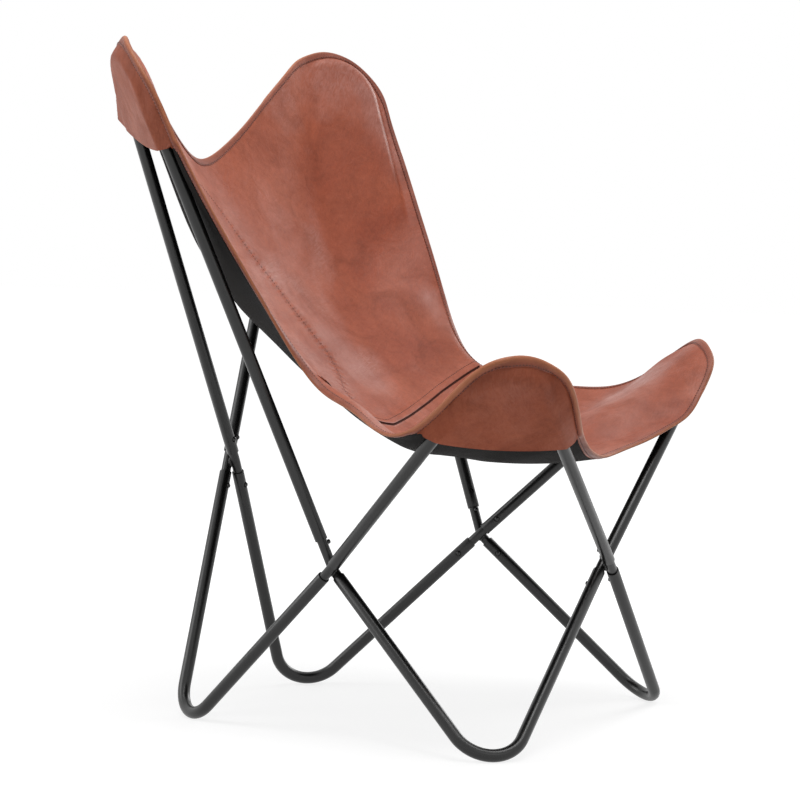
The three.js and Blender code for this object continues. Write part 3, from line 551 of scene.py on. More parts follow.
# Buttons, each on its own body: radius and height of the rings from the flange to the dome's top
BUTTON_SIDES = 32
PROFILE = [(0, 2.2), (3.2, 2.2), (3.4, 2.35), (3.4, 2.85), (3.25, 3.0), (3.0, 3.05), (2.98, 8.4),
           (2.9, 8.9), (2.7, 9.35), (2.3, 9.75), (1.7, 10.05), (0.9, 10.25), (0, 10.3)]
for arm in ARMS:
    name = f"button_{arm['name']}"
    rings = [ring_points(arm["button"] + arm["look"] * height, arm["along"], arm["aside"], radius,
                         BUTTON_SIDES) for radius, height in PROFILE]
    button = new_object(f"domed_{name}", np.concatenate(rings),
                        grid_faces(len(PROFILE), BUTTON_SIDES), button_coat, 50, merge=True)
    keep(button, "blackened_steel", name, body=name)

# The leaf springs inside the stubs are the solids themselves
for name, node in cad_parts.items():
    if name.startswith("leaf_spring"):
        if not node.material_slots:
            node.data.materials.append(spring_steel)
        for slot in node.material_slots:
            slot.material = spring_steel

# Sling: the outline's stations, as in the solids
# Valley rows start with shares of the half width, depth and rise of the nearby bend, lobe rows with
# degrees round the bend, millimetres outside it and over it, waist rows with shares of the ways
# from the side crossing to both bends. Each row ends with two shares of the middle line: where a
# thread from there would meet it, and where it ends.
TOP_VALLEY = [
    (0, 0.11, -0.176, 0, 0.3), (0.2, 0.104, -0.139, 0, 0.306), (0.384, 0.094, -0.073, 0, 0.314),
    (0.568, 0.085, 0.005, 0, 0.324),
]
BACK_LOBE = [
    (-76, 32.4, 32.7, 0.004, 0.337), (-55, 23.5, 23, 0.009, 0.348), (-34, 19, 13.7, 0.016, 0.358),
    (-15, 19, 8, 0.025, 0.368), (4, 20.8, 1.5, 0.038, 0.378), (27, 23.6, -5, 0.063, 0.392),
    (50, 25.3, -7, 0.093, 0.407), (74, 28.8, -5, 0.128, 0.423), (98, 34.5, -2.1, 0.165, 0.442),
]
WAIST = [
    (0.832, 0.184, 0.2, 0.215, 0.468), (0.694, 0.188, 0.135, 0.323, 0.5),
    (0.572, 0.193, 0.061, 0.415, 0.53), (0.47, 0.197, -0.008, 0.493, 0.56),
    (0.385, 0.214, -0.056, 0.556, 0.585), (0.321, 0.258, -0.054, 0.604, 0.607),
    (0.255, 0.366, 0.032, 0.662, 0.628), (0.195, 0.486, 0.125, 0.72, 0.646),
    (0.137, 0.618, 0.206, 0.777, 0.661),
]
FRONT_LOBE = [
    (98, 51.1, 13.7, 0.83, 0.674), (78, 26, 2.9, 0.875, 0.685), (45, 20.3, 2.1, 0.915, 0.695),
    (19, 25, 5.1, 0.945, 0.703), (-1, 22.5, 10.6, 0.965, 0.71), (-24, 20.7, 15.3, 0.98, 0.717),
    (-47, 25.8, 13.7, 0.99, 0.724), (-67, 34.5, 8.5, 0.995, 0.731), (-83, 40.5, 5.2, 1, 0.738),
    (-100, 51, 2.8, 1, 0.745),
]
FRONT_VALLEY = [
    (0.652, -0.13, -0.147, 1, 0.752), (0.514, -0.108, -0.221, 1, 0.759),
    (0.353, -0.084, -0.282, 1, 0.766), (0.177, -0.059, -0.328, 1, 0.772),
    (0, -0.047, -0.356, 1, 0.778),
]
# The middle line, in shares of the depth and rise between the bends
MIDDLE_SHARES = [
    (1.11, 0.772), (1.035, 0.599), (0.913, 0.358), (0.774, 0.126), (0.636, -0.061), (0.487, -0.176),
    (0.339, -0.226), (0.181, -0.237), (0.052, -0.226), (-0.047, -0.205),
]
# How late a thread rises to the outline: powers by shares of the middle line
CLIMB = ([0, 0.35, 0.55, 1], [2.4, 2.4, 1.7, 2])
# Pockets: first and last station, and how far the lower edge sags
BACK_POCKET = (3, 13, 14.0)
FRONT_POCKETS = {-1: (22, 32, 12.0), 1: (22, 31, 12.0)}

# Room between a loop's middle line and the leather over it, and a pocket behind it
FACE_ROOM = TUBE_RADIUS + 2.2 + LEATHER / 2 + LINING
POCKET_ROOM = TUBE_RADIUS + 1.4 + LEATHER / 2

TIPS = {part: {side: LOOP[f"{part}_tip_tube_{word}"] for side, word in ((-1, "right"), (1, "left"))}
        for part in ("back", "front")}
BACK = TIPS["back"][1]["centre"]
FRONT = TIPS["front"][1]["centre"]
DEPTH = BACK[1] - FRONT[1]
RISE = BACK[2] - FRONT[2]


def lengths_along(points):
    """How far along a line of points each point lies."""
    return np.concatenate([[0], np.cumsum(np.linalg.norm(np.diff(points, axis=0), axis=1))])


def points_at(at, known, points):
    """Points of a line at these places, from the points at its known places."""
    return np.stack([np.interp(at, known, points[:, i]) for i in range(points.shape[1])], axis=-1)


def catmull_rom(knots, steps=120):
    """Centripetal Catmull-Rom through the knots: points, their shares of the length, the length."""
    ends = [2 * knots[0] - knots[1], *knots, 2 * knots[-1] - knots[-2]]
    dense = []
    for i in range(1, len(ends) - 2):
        p = ends[i - 1:i + 3]
        d = [max(1e-4, np.linalg.norm(p[k + 1] - p[k]) ** 0.5) for k in range(3)]
        t1, t2 = (((p[k + 1] - p[k]) / d[k] - (p[k + 2] - p[k]) / (d[k] + d[k + 1]) +
                   (p[k + 2] - p[k + 1]) / d[k + 1]) * d[1] for k in (0, 1))
        for t in np.arange(steps) / steps:
            dense.append(p[1] + t1 * t + (3 * (p[2] - p[1]) - 2 * t1 - t2) * t ** 2 +
                         (2 * (p[1] - p[2]) + t1 + t2) * t ** 3)
    dense = np.array(dense + [knots[-1]])
    length = lengths_along(dense)
    return dense, length / length[-1], length[-1]


middle_dense, middle_share, MIDDLE_LENGTH = catmull_rom(
    [vec(0, FRONT[1] + d * DEPTH, FRONT[2] + h * RISE) for d, h in MIDDLE_SHARES])


def middle_at(share):
    return points_at(np.clip(share, 0, 1), middle_share, middle_dense)


def middle_way(share):
    share = np.clip(share, 0, 1)
    return unit(middle_at(share + 0.002) - middle_at(share - 0.002))


def valley_point(bend, crossing, row):
    rise = bend[2] - crossing[2]
    return vec(row[0] * bend[0], bend[1] + row[1] * DEPTH, bend[2] + row[2] * rise)


def lobe_point(part, side, row):
    loop, a = TIPS[part][side], math.radians(row[0])
    reach = loop["bend"] + row[1]
    p = loop["centre"] + loop["face"] * row[2]
    p = p + loop["point"] * reach * math.cos(a) + loop["across"] * reach * math.sin(a)
    return p * vec(side, 1, 1)


def waist_point(row):
    back_way, front_way = BACK - SIDE_CROSSING, FRONT - SIDE_CROSSING
    square = unit(np.cross(back_way, front_way)) * SIDE_CROSSING[0]
    return SIDE_CROSSING + back_way * row[0] + front_way * row[1] + square * row[2]


def half_stations(side):
    return np.array([valley_point(BACK, BACK_CROSSING, row) for row in TOP_VALLEY] +
                    [lobe_point("back", side, row) for row in BACK_LOBE] +
                    [waist_point(row) for row in WAIST] +
                    [lobe_point("front", side, row) for row in FRONT_LOBE] +
                    [valley_point(FRONT, FRONT_CROSSING, row) for row in FRONT_VALLEY])


left_edge, right_edge = half_stations(1), half_stations(-1)
stations = TOP_VALLEY + BACK_LOBE + WAIST + FRONT_LOBE + FRONT_VALLEY
end_shares = np.array([row[3:] for row in stations])
knots = (lengths_along(left_edge) + lengths_along(right_edge)) / 2
HALF_LENGTH = knots[-1]


def periodic_spline(at, values, period):
    """A smooth closed curve through the values, as a function."""
    n = len(at)
    h = np.diff(np.append(at, period + at[0]))
    a, b = np.zeros((n, n)), np.zeros((n, values.shape[1]))
    for i in range(n):
        k = (i + 1) % n
        a[i, i - 1] += h[i - 1]
        a[i, i] += 2 * (h[i - 1] + h[i])
        a[i, k] += h[i]
        b[i] = 6 * ((values[k] - values[i]) / h[i] - (values[i] - values[i - 1]) / h[i - 1])
    m = np.linalg.solve(a, b)

    def value(x):
        x = np.mod(x - at[0], period) + at[0]
        i = np.clip(np.searchsorted(at, x, side="right") - 1, 0, n - 1)
        j = (i + 1) % n
        t, g = (x - at[i])[:, None], h[i][:, None]
        return (values[i] * (g - t) / g + values[j] * t / g +
                (m[i] * ((g - t) ** 3 / g - (g - t) * g) + m[j] * (t ** 3 / g - t * g)) / 6)

    return value


def there_and_back(at):
    """Places round the whole outline, from those along one half of it."""
    return np.concatenate([at, (2 * HALF_LENGTH - at[1:-1])[::-1]])


outline = periodic_spline(there_and_back(knots), np.concatenate([
    np.hstack([left_edge, end_shares]),
    np.hstack([right_edge * vec(-1, 1, 1), end_shares])[1:-1][::-1],
]), 2 * HALF_LENGTH)

HALF_SAMPLES = 430
sample_at = there_and_back(np.linspace(0, HALF_LENGTH, HALF_SAMPLES + 1))
COUNT = len(sample_at)
samples = outline(sample_at)
side_of = np.where(np.arange(COUNT) <= HALF_SAMPLES, 1, -1)
edges = samples[:, :3] * np.where(side_of[:, None] < 0, vec(-1, 1, 1), 1)
edges[[0, HALF_SAMPLES], 0] = 0
edges[:, 0] = np.maximum(edges[:, 0], 0)
meets = np.clip(samples[:, 3], 0, 1)
ends = samples[:, 4]
# Where each sample lies in the list of stations
station_of = np.interp(np.where(side_of > 0, sample_at, 2 * HALF_LENGTH - sample_at), knots,
                       np.arange(len(knots)))


def fade(share, at, over):
    """A soft peak of 1 at one place."""
    return np.exp(-(((share - at) / over) ** 2))


def smooth_step(value, low, high):
    t = np.clip((value - low) / (high - low), 0, 1)
    return t * t * (3 - 2 * t)


# The sitter's right back lobe is pulled further over its loop than the left one, and the leather
# sags more along the sitter's right edge, which rolls outwards beside the seat
LOBE_PULL = 9.0
RIGHT_SAG = 28.0
EDGE_ROLL = 8.0
BACK_SLACK = 12.0
LIP_DROP = 16.0
LIP_SHARE = 0.08
pull = smooth_step(station_of, 5.5, 8.5) * (1 - smooth_step(station_of, 11.5, 15.5)) * (side_of < 0)
edges += LOBE_PULL * pull[:, None] * TIPS["back"][-1]["face"] * vec(-1, 1, 1)


def over_loop(loop, p):
    """How far points lie outside a loop's middle line, and how high over its plane."""
    way = p - loop["centre"]
    a, b = way @ loop["point"], np.abs(way @ loop["across"])
    cos, sin = math.cos(loop["half_angle"]), math.sin(loop["half_angle"])
    outside = np.where(a * cos > b * sin, np.hypot(a, b), a * sin + b * cos) - loop["bend"]
    return outside, way @ loop["face"]


def soft_max(value, floor):
    """The larger of both, with a soft change from one to the other."""
    return floor + IMPRINT_SOFTNESS * np.logaddexp(0, (value - floor) / IMPRINT_SOFTNESS)


def room_over(outside, room):
    """The room that a loop's tube needs, less and less outside its middle line."""
    return room - np.maximum(outside, 0) ** 2 / IMPRINT_LENGTH


def push_over(loop, p):
    """Points of the sling, raised off a loop's tube where they would cut into it."""
    outside, height = over_loop(loop, p)
    floor = room_over(outside, FACE_ROOM)
    rise = np.where(height > floor + IMPRINT_REACH, 0, soft_max(height, floor) - height)
    return p + rise[..., None] * loop["face"]


def thread_points(shares):
    """Points on every sample's thread at these shares: 0 on the middle line, 1 at the outline."""
    along = ends[:, None] + (meets - ends)[:, None] * shares
    climb = shares ** np.interp(along, *CLIMB)
    p = middle_at(along) + (edges - middle_at(meets))[:, None] * climb[..., None]
    p[..., 0] = edges[:, None, 0] * shares
    aside = p[..., 0] / BACK_HALF_WIDTH
    way = middle_way(along)
    slack = BACK_SLACK * fade(along, 0.27, 0.16) * 4 * aside ** 2 * (1 - shares ** 2)
    p[..., 1] -= way[..., 2] * slack
    p[..., 2] += way[..., 1] * slack
    lip = np.clip((shares - 1 + LIP_SHARE) / LIP_SHARE, 0, 1)
    sag = LIP_DROP * fade(meets, 0.63, 0.12)[:, None] * lip ** 2
    roll = EDGE_ROLL * fade(along, 0.72, 0.09) * fade(shares, 0.87, 0.075)
    right_sag = RIGHT_SAG * fade(along, 0.79, 0.07) * aside ** 2 - roll
    p[..., 2] -= sag + right_sag * (side_of < 0)[:, None]
    p[..., 0] *= side_of[:, None]
    for side in (-1, 1):
        rows = side_of == side
        p[rows] = push_over(TIPS["back"][side], push_over(TIPS["front"][side], p[rows]))
    p[edges[:, 0] == 0, :, 0] = 0
    return p


# Rings of the net: millimetres from the outline, then even shares up to the middle line
NEAR = [0, 1.2, 3, 6, 9.2, 10, 11.5, 13.5, 16, 19, 22, 25, 28, 31, 34, 37, 40, 44, 48, 52, 57, 62,
        68, 75]
INNER = 40
HALF_RING, LINE_RING, LINING_RING = NEAR.index(6), NEAR.index(10), NEAR.index(13.5)
one = np.ones((COUNT, 1))
step_in = thread_points(one)[:, 0] - thread_points(one * 0.98)[:, 0]
reach = np.linalg.norm(step_in, axis=1)[:, None] / 0.02
near_shares = 1 - np.array(NEAR) / reach
shares = np.hstack([near_shares, near_shares[:, -1:] * (1 - np.arange(1, INNER) / INNER)])
RINGS = shares.shape[1]
net = thread_points(shares)
net_points = np.concatenate([net.reshape(-1, 3), middle_at(ends[:HALF_SAMPLES + 1])])


def net_index(k, j):
    """The net's point of a sample and ring. Past the last ring it lies on the middle line."""
    k = k % COUNT
    return k * RINGS + j if j < RINGS else COUNT * RINGS + min(k, COUNT - k)


def net_faces(first_ring):
    faces = []
    for k in range(COUNT):
        for j in range(first_ring, RINGS):
            a, b = net_index(k, j), net_index(k, j + 1)
            c, d = net_index(k + 1, j + 1), net_index(k + 1, j)
            faces.append((a, b, d) if b == c else (a, b, c, d))
    return faces


def face_ways(points, faces):
    """The faces as rows of four, with a triangle's last corner twice, and their ways times area."""
    quads = np.array([face if len(face) == 4 else (*face, face[2]) for face in faces])
    p = points[quads]
    return quads, np.cross(p[:, 2] - p[:, 0], p[:, 3] - p[:, 1])


def normals_of(points, faces):
    quads, ways = face_ways(points, faces)
    normals = np.zeros_like(points)
    for k in range(4):
        rows = (k < 3) | (quads[:, 3] != quads[:, 2])
        np.add.at(normals, quads[rows, k], ways[rows])
    return normals / np.maximum(np.linalg.norm(normals, axis=1, keepdims=True), 1e-12)


def sling_normals(points):
    """Normals of the sling's net towards the sitter."""
    normals = normals_of(points, sling_faces)
    return normals if normals[COUNT * RINGS + HALF_SAMPLES // 2][2] >= 0 else -normals


sling_faces = net_faces(0)
net_normals = sling_normals(net_points)
base_tree = BVHTree.FromPolygons(net_points.tolist(), sling_faces)


def pixel_ray(x, y):
    right, up = (x - IMAGE_SIDE / 2) / FOCAL_PIXELS, (IMAGE_SIDE / 2 - y) / FOCAL_PIXELS
    way = unit(forward + camera_right * right + camera_up * up)
    return base_tree.ray_cast(Vector(CAMERA_PLACE), Vector(way))[0]


def polyline_points(pixels, step=2.0):
    """The surface under a line of pixels, as a smoothed row of points this far apart."""
    line = []
    for (x0, y0), (x1, y1) in zip(pixels, pixels[1:]):
        n = max(2, int(math.hypot(x1 - x0, y1 - y0) / 1.5))
        hits = [pixel_ray(x0 + (x1 - x0) * i / n, y0 + (y1 - y0) * i / n) for i in range(n)]
        line += [np.array(hit) for hit in hits if hit is not None]
    line = np.array(line)
    for _ in range(6):
        line[1:-1] = (line[:-2] + 2 * line[1:-1] + line[2:]) / 4
    length = lengths_along(line)
    return points_at(np.arange(0, length[-1], step), length, line)


def distance_to(points, line):
    """Distance of each point to a line of points, and the share of the line that is nearest."""
    best = np.full(len(points), 1e9)
    where = np.zeros(len(points))
    for i, p in enumerate(line):
        d = np.linalg.norm(points - p, axis=1)
        closer = d < best
        best[closer] = d[closer]
        where[closer] = i
    return best, where / max(1, len(line) - 1)


# The puckered line of stitches along the sitter's right side, by its place in the picture
PUCKER_PIXELS = [(191.6, 175), (215.6, 205.3), (231.5, 227.6), (255.4, 261), (279.4, 291.4),
                 (290, 306), (310.4, 331.6), (327.8, 353), (339, 375.5), (344, 391.8), (353.3, 402)]
pucker_line = polyline_points(PUCKER_PIXELS)

# The seat's cross seam, by its ends and middle in the picture, carried on to both edges
SEAM_PIXELS = [(395, 426.5), (441, 394.3), (485, 362.5)]
SEAM_REACH = 262.0
seam_seen = polyline_points(SEAM_PIXELS)
seam_curve = np.polyfit(seam_seen[:, 0], seam_seen[:, 1], 2)

# How far in from the outline every point of the net lies, and where along the middle line
MIDDLE_INSET = 400.0
inset_all = np.append((1 - shares) * reach, np.full(HALF_SAMPLES + 1, MIDDLE_INSET))
along_all = np.append(ends[:, None] + (meets - ends)[:, None] * shares, ends[:HALF_SAMPLES + 1])


def wave_field(width, length, seed):
    """Soft noise at every point, of this size across the sling and along it."""
    return np.array([noise.noise(Vector((p[0] / width + seed, a * MIDDLE_LENGTH / length,
                                         seed * 3.1))) for p, a in zip(net_points, along_all)])


# Soft undulations and creases of the leather, in millimetres towards the sitter
inner_share = smooth_step(inset_all, 14, 60)
height = inner_share * (1.5 * wave_field(110, 260, 4.2) + 0.5 * wave_field(42, 120, 9.7))

# Each crease: its place in the picture, its half width and its height
CREASES = [
    ([(214, 214), (240, 262), (270, 306), (300, 350)], 9, -1.0),
    ([(300, 330), (330, 366), (352, 392)], 7, 0.9),
    ([(262, 236), (300, 292), (345, 350), (380, 385)], 22, 1.4),
    ([(330, 300), (365, 345), (396, 382)], 12, -0.9),
    ([(392, 292), (416, 330), (442, 356)], 12, 0.9),
    ([(424, 300), (440, 330), (462, 352)], 8, -0.9),
    ([(372, 92), (392, 150), (408, 205)], 12, -1.0),
    ([(352, 130), (376, 190), (398, 250)], 16, 0.8),
    ([(610, 392), (600, 416), (590, 440)], 7, 1.5),
    ([(624, 388), (616, 412), (604, 440)], 7, -1.3),
    ([(640, 384), (632, 408), (618, 436)], 8, 1.1),
    ([(660, 372), (650, 400), (632, 430)], 9, -0.8),
    ([(596, 398), (584, 420), (580, 440)], 6, -1.0),
    ([(400, 400), (430, 385), (462, 366)], 10, 0.6),
]
for pixels, width, depth in CREASES:
    far, where = distance_to(net_points, polyline_points(pixels, 3.0))
    along_crease = np.sqrt(np.sin(np.pi * np.clip(where, 0.02, 0.98)))
    height += depth * fade(far, 0, width) * along_crease * inner_share

# The lap of the cross seam: the back panel's edge lies on the front panel
LAP_RISE = 0.9
seam_y = np.polyval(seam_curve, np.minimum(np.abs(net_points[:, 0]), SEAM_REACH))
seam_way = (net_points[:, 1] - seam_y) * 1.08
lap = LAP_RISE * smooth_step(seam_way, -4, 2) * (1 - smooth_step(seam_way, 12, 26))
height += np.where(along_all > 0.45, lap, 0) * inner_share

# Painted sheen: pale patches painted where the leather shows a soft reflection of the light, each
# by its line, half width and strength
PAINTED_SHEENS = [
    ([(232, 214), (262, 262), (296, 306), (330, 346)], 30, 0.2),
    ([(326, 336), (350, 362), (376, 386)], 26, 0.6),
    ([(366, 96), (384, 134), (398, 178)], 20, 0.3),
    ([(430, 300), (448, 326), (466, 346)], 18, 0.55),
    ([(655, 366), (640, 396), (612, 432)], 26, 0.35),
]
bloom_and_sheen = np.zeros(len(net_points))
for pixels, width, amount in PAINTED_SHEENS:
    far, _ = distance_to(net_points, polyline_points(pixels, 5.0))
    bloom_and_sheen = np.maximum(bloom_and_sheen, amount * fade(far, 0, width))

skin_points = net_points + net_normals * height[:, None]
skin_normals = sling_normals(skin_points)
flip = np.sum(skin_normals * net_normals, axis=1) < 0
skin_normals[flip] = net_normals[flip]


def shell(name, points, normals, faces, upper, lower, material):
    """A closed sheet between two offsets of a net, with walls along its open edges."""
    used = np.unique(np.concatenate([np.array(f) for f in faces]))
    index = np.full(len(points), -1)
    index[used] = np.arange(len(used))
    n = len(used)
    both = np.concatenate([points[used] + normals[used] * offset for offset in (upper, lower)])
    out, sides = [], {}
    for face in faces:
        f = [int(index[i]) for i in face]
        out += [tuple(f), tuple(i + n for i in reversed(f))]
        sides.update(dict.fromkeys(zip(f, f[1:] + f[:1])))
    out += [(b, a, a + n, b + n) for a, b in sides if (b, a) not in sides]
    return new_object(name, both, out, material, 50), used


def paint(made, name, values):
    layer = made.data.attributes.new(name, "FLOAT", "POINT")
    layer.data.foreach_set("value", np.asarray(values, float))


GATHERS = 58
leather_skin, used = shell("leather_skin", skin_points, skin_normals, sling_faces, LEATHER / 2,
                           -LEATHER / 2, sling_leather)
far, gone_share = distance_to(net_points, pucker_line)
gather = fade(far, 0, 9) * (0.35 + 0.65 * smooth_step(gone_share, 0.45, 0.85))
# The painted sheen patches and the gathers of the puckered stitches, on the skin
for name, values in (("bloom_and_sheen", bloom_and_sheen), ("gather", gather)):
    paint(leather_skin, name, np.append(values[used], np.zeros(len(used))))
paint(leather_skin, "gather_phase", np.tile(gone_share[used] * GATHERS * 2 * math.pi, 2))
keep(leather_skin, "tan_leather", "back_and_seat_leather", "front_seat_leather")

# Canvas lining, a little inside the binding
LINING_TOP = -LEATHER / 2 - 0.15
lining_faces = net_faces(LINING_RING)
lining, _ = shell("canvas_lining_cloth", skin_points, skin_normals, lining_faces, LINING_TOP,
                  LINING_TOP - LINING, black_canvas)
keep(lining, "black_canvas", "canvas_lining")

# Pockets behind the loops
POCKET_DROP = LEATHER + 0.45
POCKET_ROWS = 26
POCKET_STUB = 2.0
LINE_INSET = 9.5


def pocket_height(loop, p, floor_height=np.inf):
    """Points of a pocket, lowered behind the loop's tube where they would cut into it."""
    outside, high = over_loop(loop, p)
    wanted = np.minimum(high, floor_height)
    limit = room_over(outside, POCKET_ROOM)
    return p + (-soft_max(-wanted, limit) - high)[..., None] * loop["face"]


def flat_on(loop, p):
    return p - over_loop(loop, p)[1][..., None] * loop["face"]


# The pockets' outer skin under the binding, by sample, and the samples where the pockets end
under_edge = {}
pocket_ends = []


def make_pocket(name, side, loop, first, last, sag):
    on_side = (side_of == side) | (edges[:, 0] == 0)
    ks = [k for k in range(COUNT) if on_side[k] and first <= station_of[k] <= last]
    ks = np.array(sorted(ks, key=lambda k: station_of[k]))
    edge, middle, line = (net[ks, ring] - net_normals[ks * RINGS + ring] * POCKET_DROP
                          for ring in (0, HALF_RING, LINE_RING))
    middle, line = pocket_height(loop, middle), pocket_height(loop, line)
    u = (station_of[ks] - station_of[ks[0]]) / (station_of[ks[-1]] - station_of[ks[0]])
    swell = np.minimum(1, 4 * u * (1 - u))
    flat_line = flat_on(loop, line)
    lower = flat_line[0] + (flat_line[-1] - flat_line[0]) * u[:, None]
    lower = lower - loop["point"] * (sag * swell)[:, None]
    stub = unit(flat_line - flat_on(loop, edge)) * POCKET_STUB
    way = stub + (lower - flat_line - stub) * np.minimum(1, 9 * swell)[:, None]
    line_height = over_loop(loop, line)[1]
    rows = [edge, middle, line]
    for t in np.arange(1, POCKET_ROWS + 1) / POCKET_ROWS:
        high = line_height - POCKET_DROP * t
        high = high + (-POCKET_ROOM - high) * np.minimum(1, 3 * swell * t)
        rows.append(pocket_height(loop, flat_line + way * t + loop["face"] * high[:, None], high))
    height, width = len(rows), len(ks)
    points = np.concatenate(rows)
    faces = grid_faces(height, width, loop_columns=False)
    normals = normals_of(points, faces)
    # All normals look away from the sitter here
    if normals[height // 2 * width + width // 2] @ loop["face"] > 0:
        normals = -normals
    made, _ = shell(f"{name}_leather", points, normals, faces, LEATHER / 2, -LEATHER / 2,
                    pocket_leather)
    keep(made, "tan_leather", name)
    skins = np.hstack([points + normals * LEATHER / 2, normals]).reshape(height, width, 6)
    for i, k in enumerate(ks):
        column = skins[:8, i]
        found = points_at(np.array([0.0, LINE_INSET / 2, LINE_INSET]),
                          lengths_along(column[:, :3]), column)
        under_edge[int(k)] = [(row[:3], unit(row[3:])) for row in found]
    pocket_ends.extend([int(ks[0]), int(ks[-1])])
    return made


for word, side in (("right", -1), ("left", 1)):
    for part, limits in (("back", BACK_POCKET), ("front", FRONT_POCKETS[side])):
        name = f"{part}_pocket_{word}"
        make_pocket(name, side, TIPS[part][side], *limits)

# Binding: a folded strip round the whole outline, over the leather and under it or under a pocket
STRIP = 0.9
REACH_OVER = 3


def under_points(k):
    """The skin under the binding at the edge, halfway and at its line, with the ways out of it."""
    if k in under_edge:
        return under_edge[k]
    share, end_k = 0.0, None
    for e in pocket_ends:
        away = min((k - e) % COUNT, (e - k) % COUNT)
        if away <= REACH_OVER and 1 - away / (REACH_OVER + 1) > share:
            share, end_k = 1 - away / (REACH_OVER + 1), e
    share = share * share * (3 - 2 * share)
    rows = []
    for r, ring in enumerate((0, HALF_RING, LINE_RING)):
        n = net_normals[k * RINGS + ring]
        deep = LEATHER / 2
        if end_k is not None:
            there = net[end_k, ring] - under_edge[end_k][r][0]
            deep += (float(there @ net_normals[end_k * RINGS + ring]) - LEATHER / 2) * share
        rows.append((net[k, ring] - n * deep, -n))
    return rows


# Across the binding's fold: share of the way down, and how far it bulges
FOLD = [(0.06, 0.75), (0.24, 1.7), (0.5, 2.15), (0.76, 1.7), (0.94, 0.75)]
BINDING_TOP = LEATHER / 2 + STRIP
binding_rows = []
for k in range(COUNT):
    (e, n0), (h, n1), (l, n2) = ((net[k, ring], net_normals[k * RINGS + ring])
                                 for ring in (0, HALF_RING, LINE_RING))
    (pe, me), (ph, mh), (pl, ml) = under_points(k)
    out, low_out = unit(e - l), unit(pe - pl)
    fold_from, fold_to = e + n0 * (BINDING_TOP - 0.1), pe + me * (STRIP - 0.1)
    binding_rows += [
        l + n2 * (LEATHER / 2 - 0.2) + out * 0.7,
        l + n2 * (LEATHER / 2 + 0.45) + out * 0.35,
        l + n2 * (BINDING_TOP - 0.1) + out * 0.7,
        l + n2 * (BINDING_TOP + 0.05) + out * 1.6,
        h + n1 * (BINDING_TOP + 0.3),
        e + n0 * (BINDING_TOP + 0.15) - out * 1.2,
        *[fold_from + (fold_to - fold_from) * t + unit(out + low_out) * b for t, b in FOLD],
        pe + me * (STRIP + 0.1) - low_out * 1.2,
        ph + mh * (STRIP + 0.2),
        pl + ml * (STRIP + 0.05) + low_out * 1.6,
        pl + ml * (STRIP - 0.1) + low_out * 0.7,
        pl + ml * 0.35 + low_out * 0.35,
        pl - ml * 0.2 + low_out * 0.7,
    ]
# Where the binding is rubbed pale, by its rows, and more widely round the right front lobe, where
# the wider pale band is partly wear and partly a painted highlight on its upturned roll
RUB_SHARES = [0, 0, 0, 0, 0, 0.05, 0.2, 0.5, 0.8, 0.5, 0.2, 0.05, 0, 0, 0, 0, 0]
WIDE_RUB_AND_HIGHLIGHT_SHARES = [0, 0, 0, 0, 0.15, 0.5, 0.7, 0.75, 0.75, 0.7, 0.6, 0.35, 0.1, 0, 0, 0, 0]
SECTION = len(RUB_SHARES)
binding = new_object("folded_binding", binding_rows, grid_faces(COUNT, SECTION, loop_rows=True),
                     binding_leather)
# Painted highlight, with wear: the wide pale band round the right front lobe, where its roll faces
# the light
wide_rub_and_highlight = smooth_step(station_of, 21, 24) * (1 - smooth_step(station_of, 30.5, 33))
wide_rub_and_highlight = wide_rub_and_highlight * np.where(side_of < 0, 1, 0.15)
rub_and_highlight = np.outer(1 - wide_rub_and_highlight, RUB_SHARES) + np.outer(wide_rub_and_highlight, WIDE_RUB_AND_HIGHLIGHT_SHARES)
paint(binding, "rub_and_highlight", rub_and_highlight.ravel())
keep(binding, "edge_leather", "edge_binding")

# Stitches, each of a few rings: place along it, size and lift, as shares of half its length and
# of the thread's radius
THREAD_RADIUS = 0.5
STITCH_SIDES = 6
STITCH_RINGS = [(-1.0, 0.2, -1.0), (-0.8, 0.85, -0.3), (0.0, 1.0, 0.25), (0.8, 0.85, -0.3),
                (1.0, 0.2, -1.0)]


def make_stitches(name, rows, spacing=4.4, length=3.3, sink=0.0):
    """Short arched stitches along rows of points, each with the ways out of the surface there."""
    one_stitch = tube_faces(len(STITCH_RINGS), STITCH_SIDES)
    rings, faces = [], []
    for points, ups in rows:
        gone = lengths_along(points)
        count = max(1, int(gone[-1] / spacing))
        centres = (np.arange(count) + 0.5) * gone[-1] / count
        middle, before, after = (points_at(centres + length / 2 * shift, gone, points)
                                 for shift in (0, -1, 1))
        up, way = unit(points_at(centres, gone, ups)), unit(after - before)
        for m, u, w in zip(middle, up, way):
            start = len(rings) * STITCH_SIDES
            faces += [tuple(start + i for i in face) for face in one_stitch]
            for t, size, lift in STITCH_RINGS:
                base = m + w * (t * length / 2) + u * (lift * THREAD_RADIUS - sink)
                rings.append(ring_points(base, np.cross(w, u), u, THREAD_RADIUS * size,
                                         STITCH_SIDES))
    made = new_object(name, np.concatenate(rings), faces, dark_thread)
    keep(made, "edge_leather")
    return made


def closed(rows):
    return np.vstack([rows, rows[:1]])


across_rows = np.array(binding_rows).reshape(COUNT, SECTION, 3)
top_up = net_normals[np.arange(COUNT) * RINGS + LINE_RING]
low_up = np.array([under_points(k)[2][1] for k in range(COUNT)])
binding_stitches = make_stitches("binding_stitches", [
    (closed(across_rows[:, a] * 0.75 + across_rows[:, b] * 0.25), closed(up))
    for a, b, up in ((3, 4, top_up), (13, 12, low_up))])

# The cross seam: the folded edge of the back panel, with its row of stitches, its dark raw edge and
# a painted shadow strip in front of it
skin_tree = BVHTree.FromPolygons((skin_points + skin_normals * LEATHER / 2).tolist(), sling_faces)


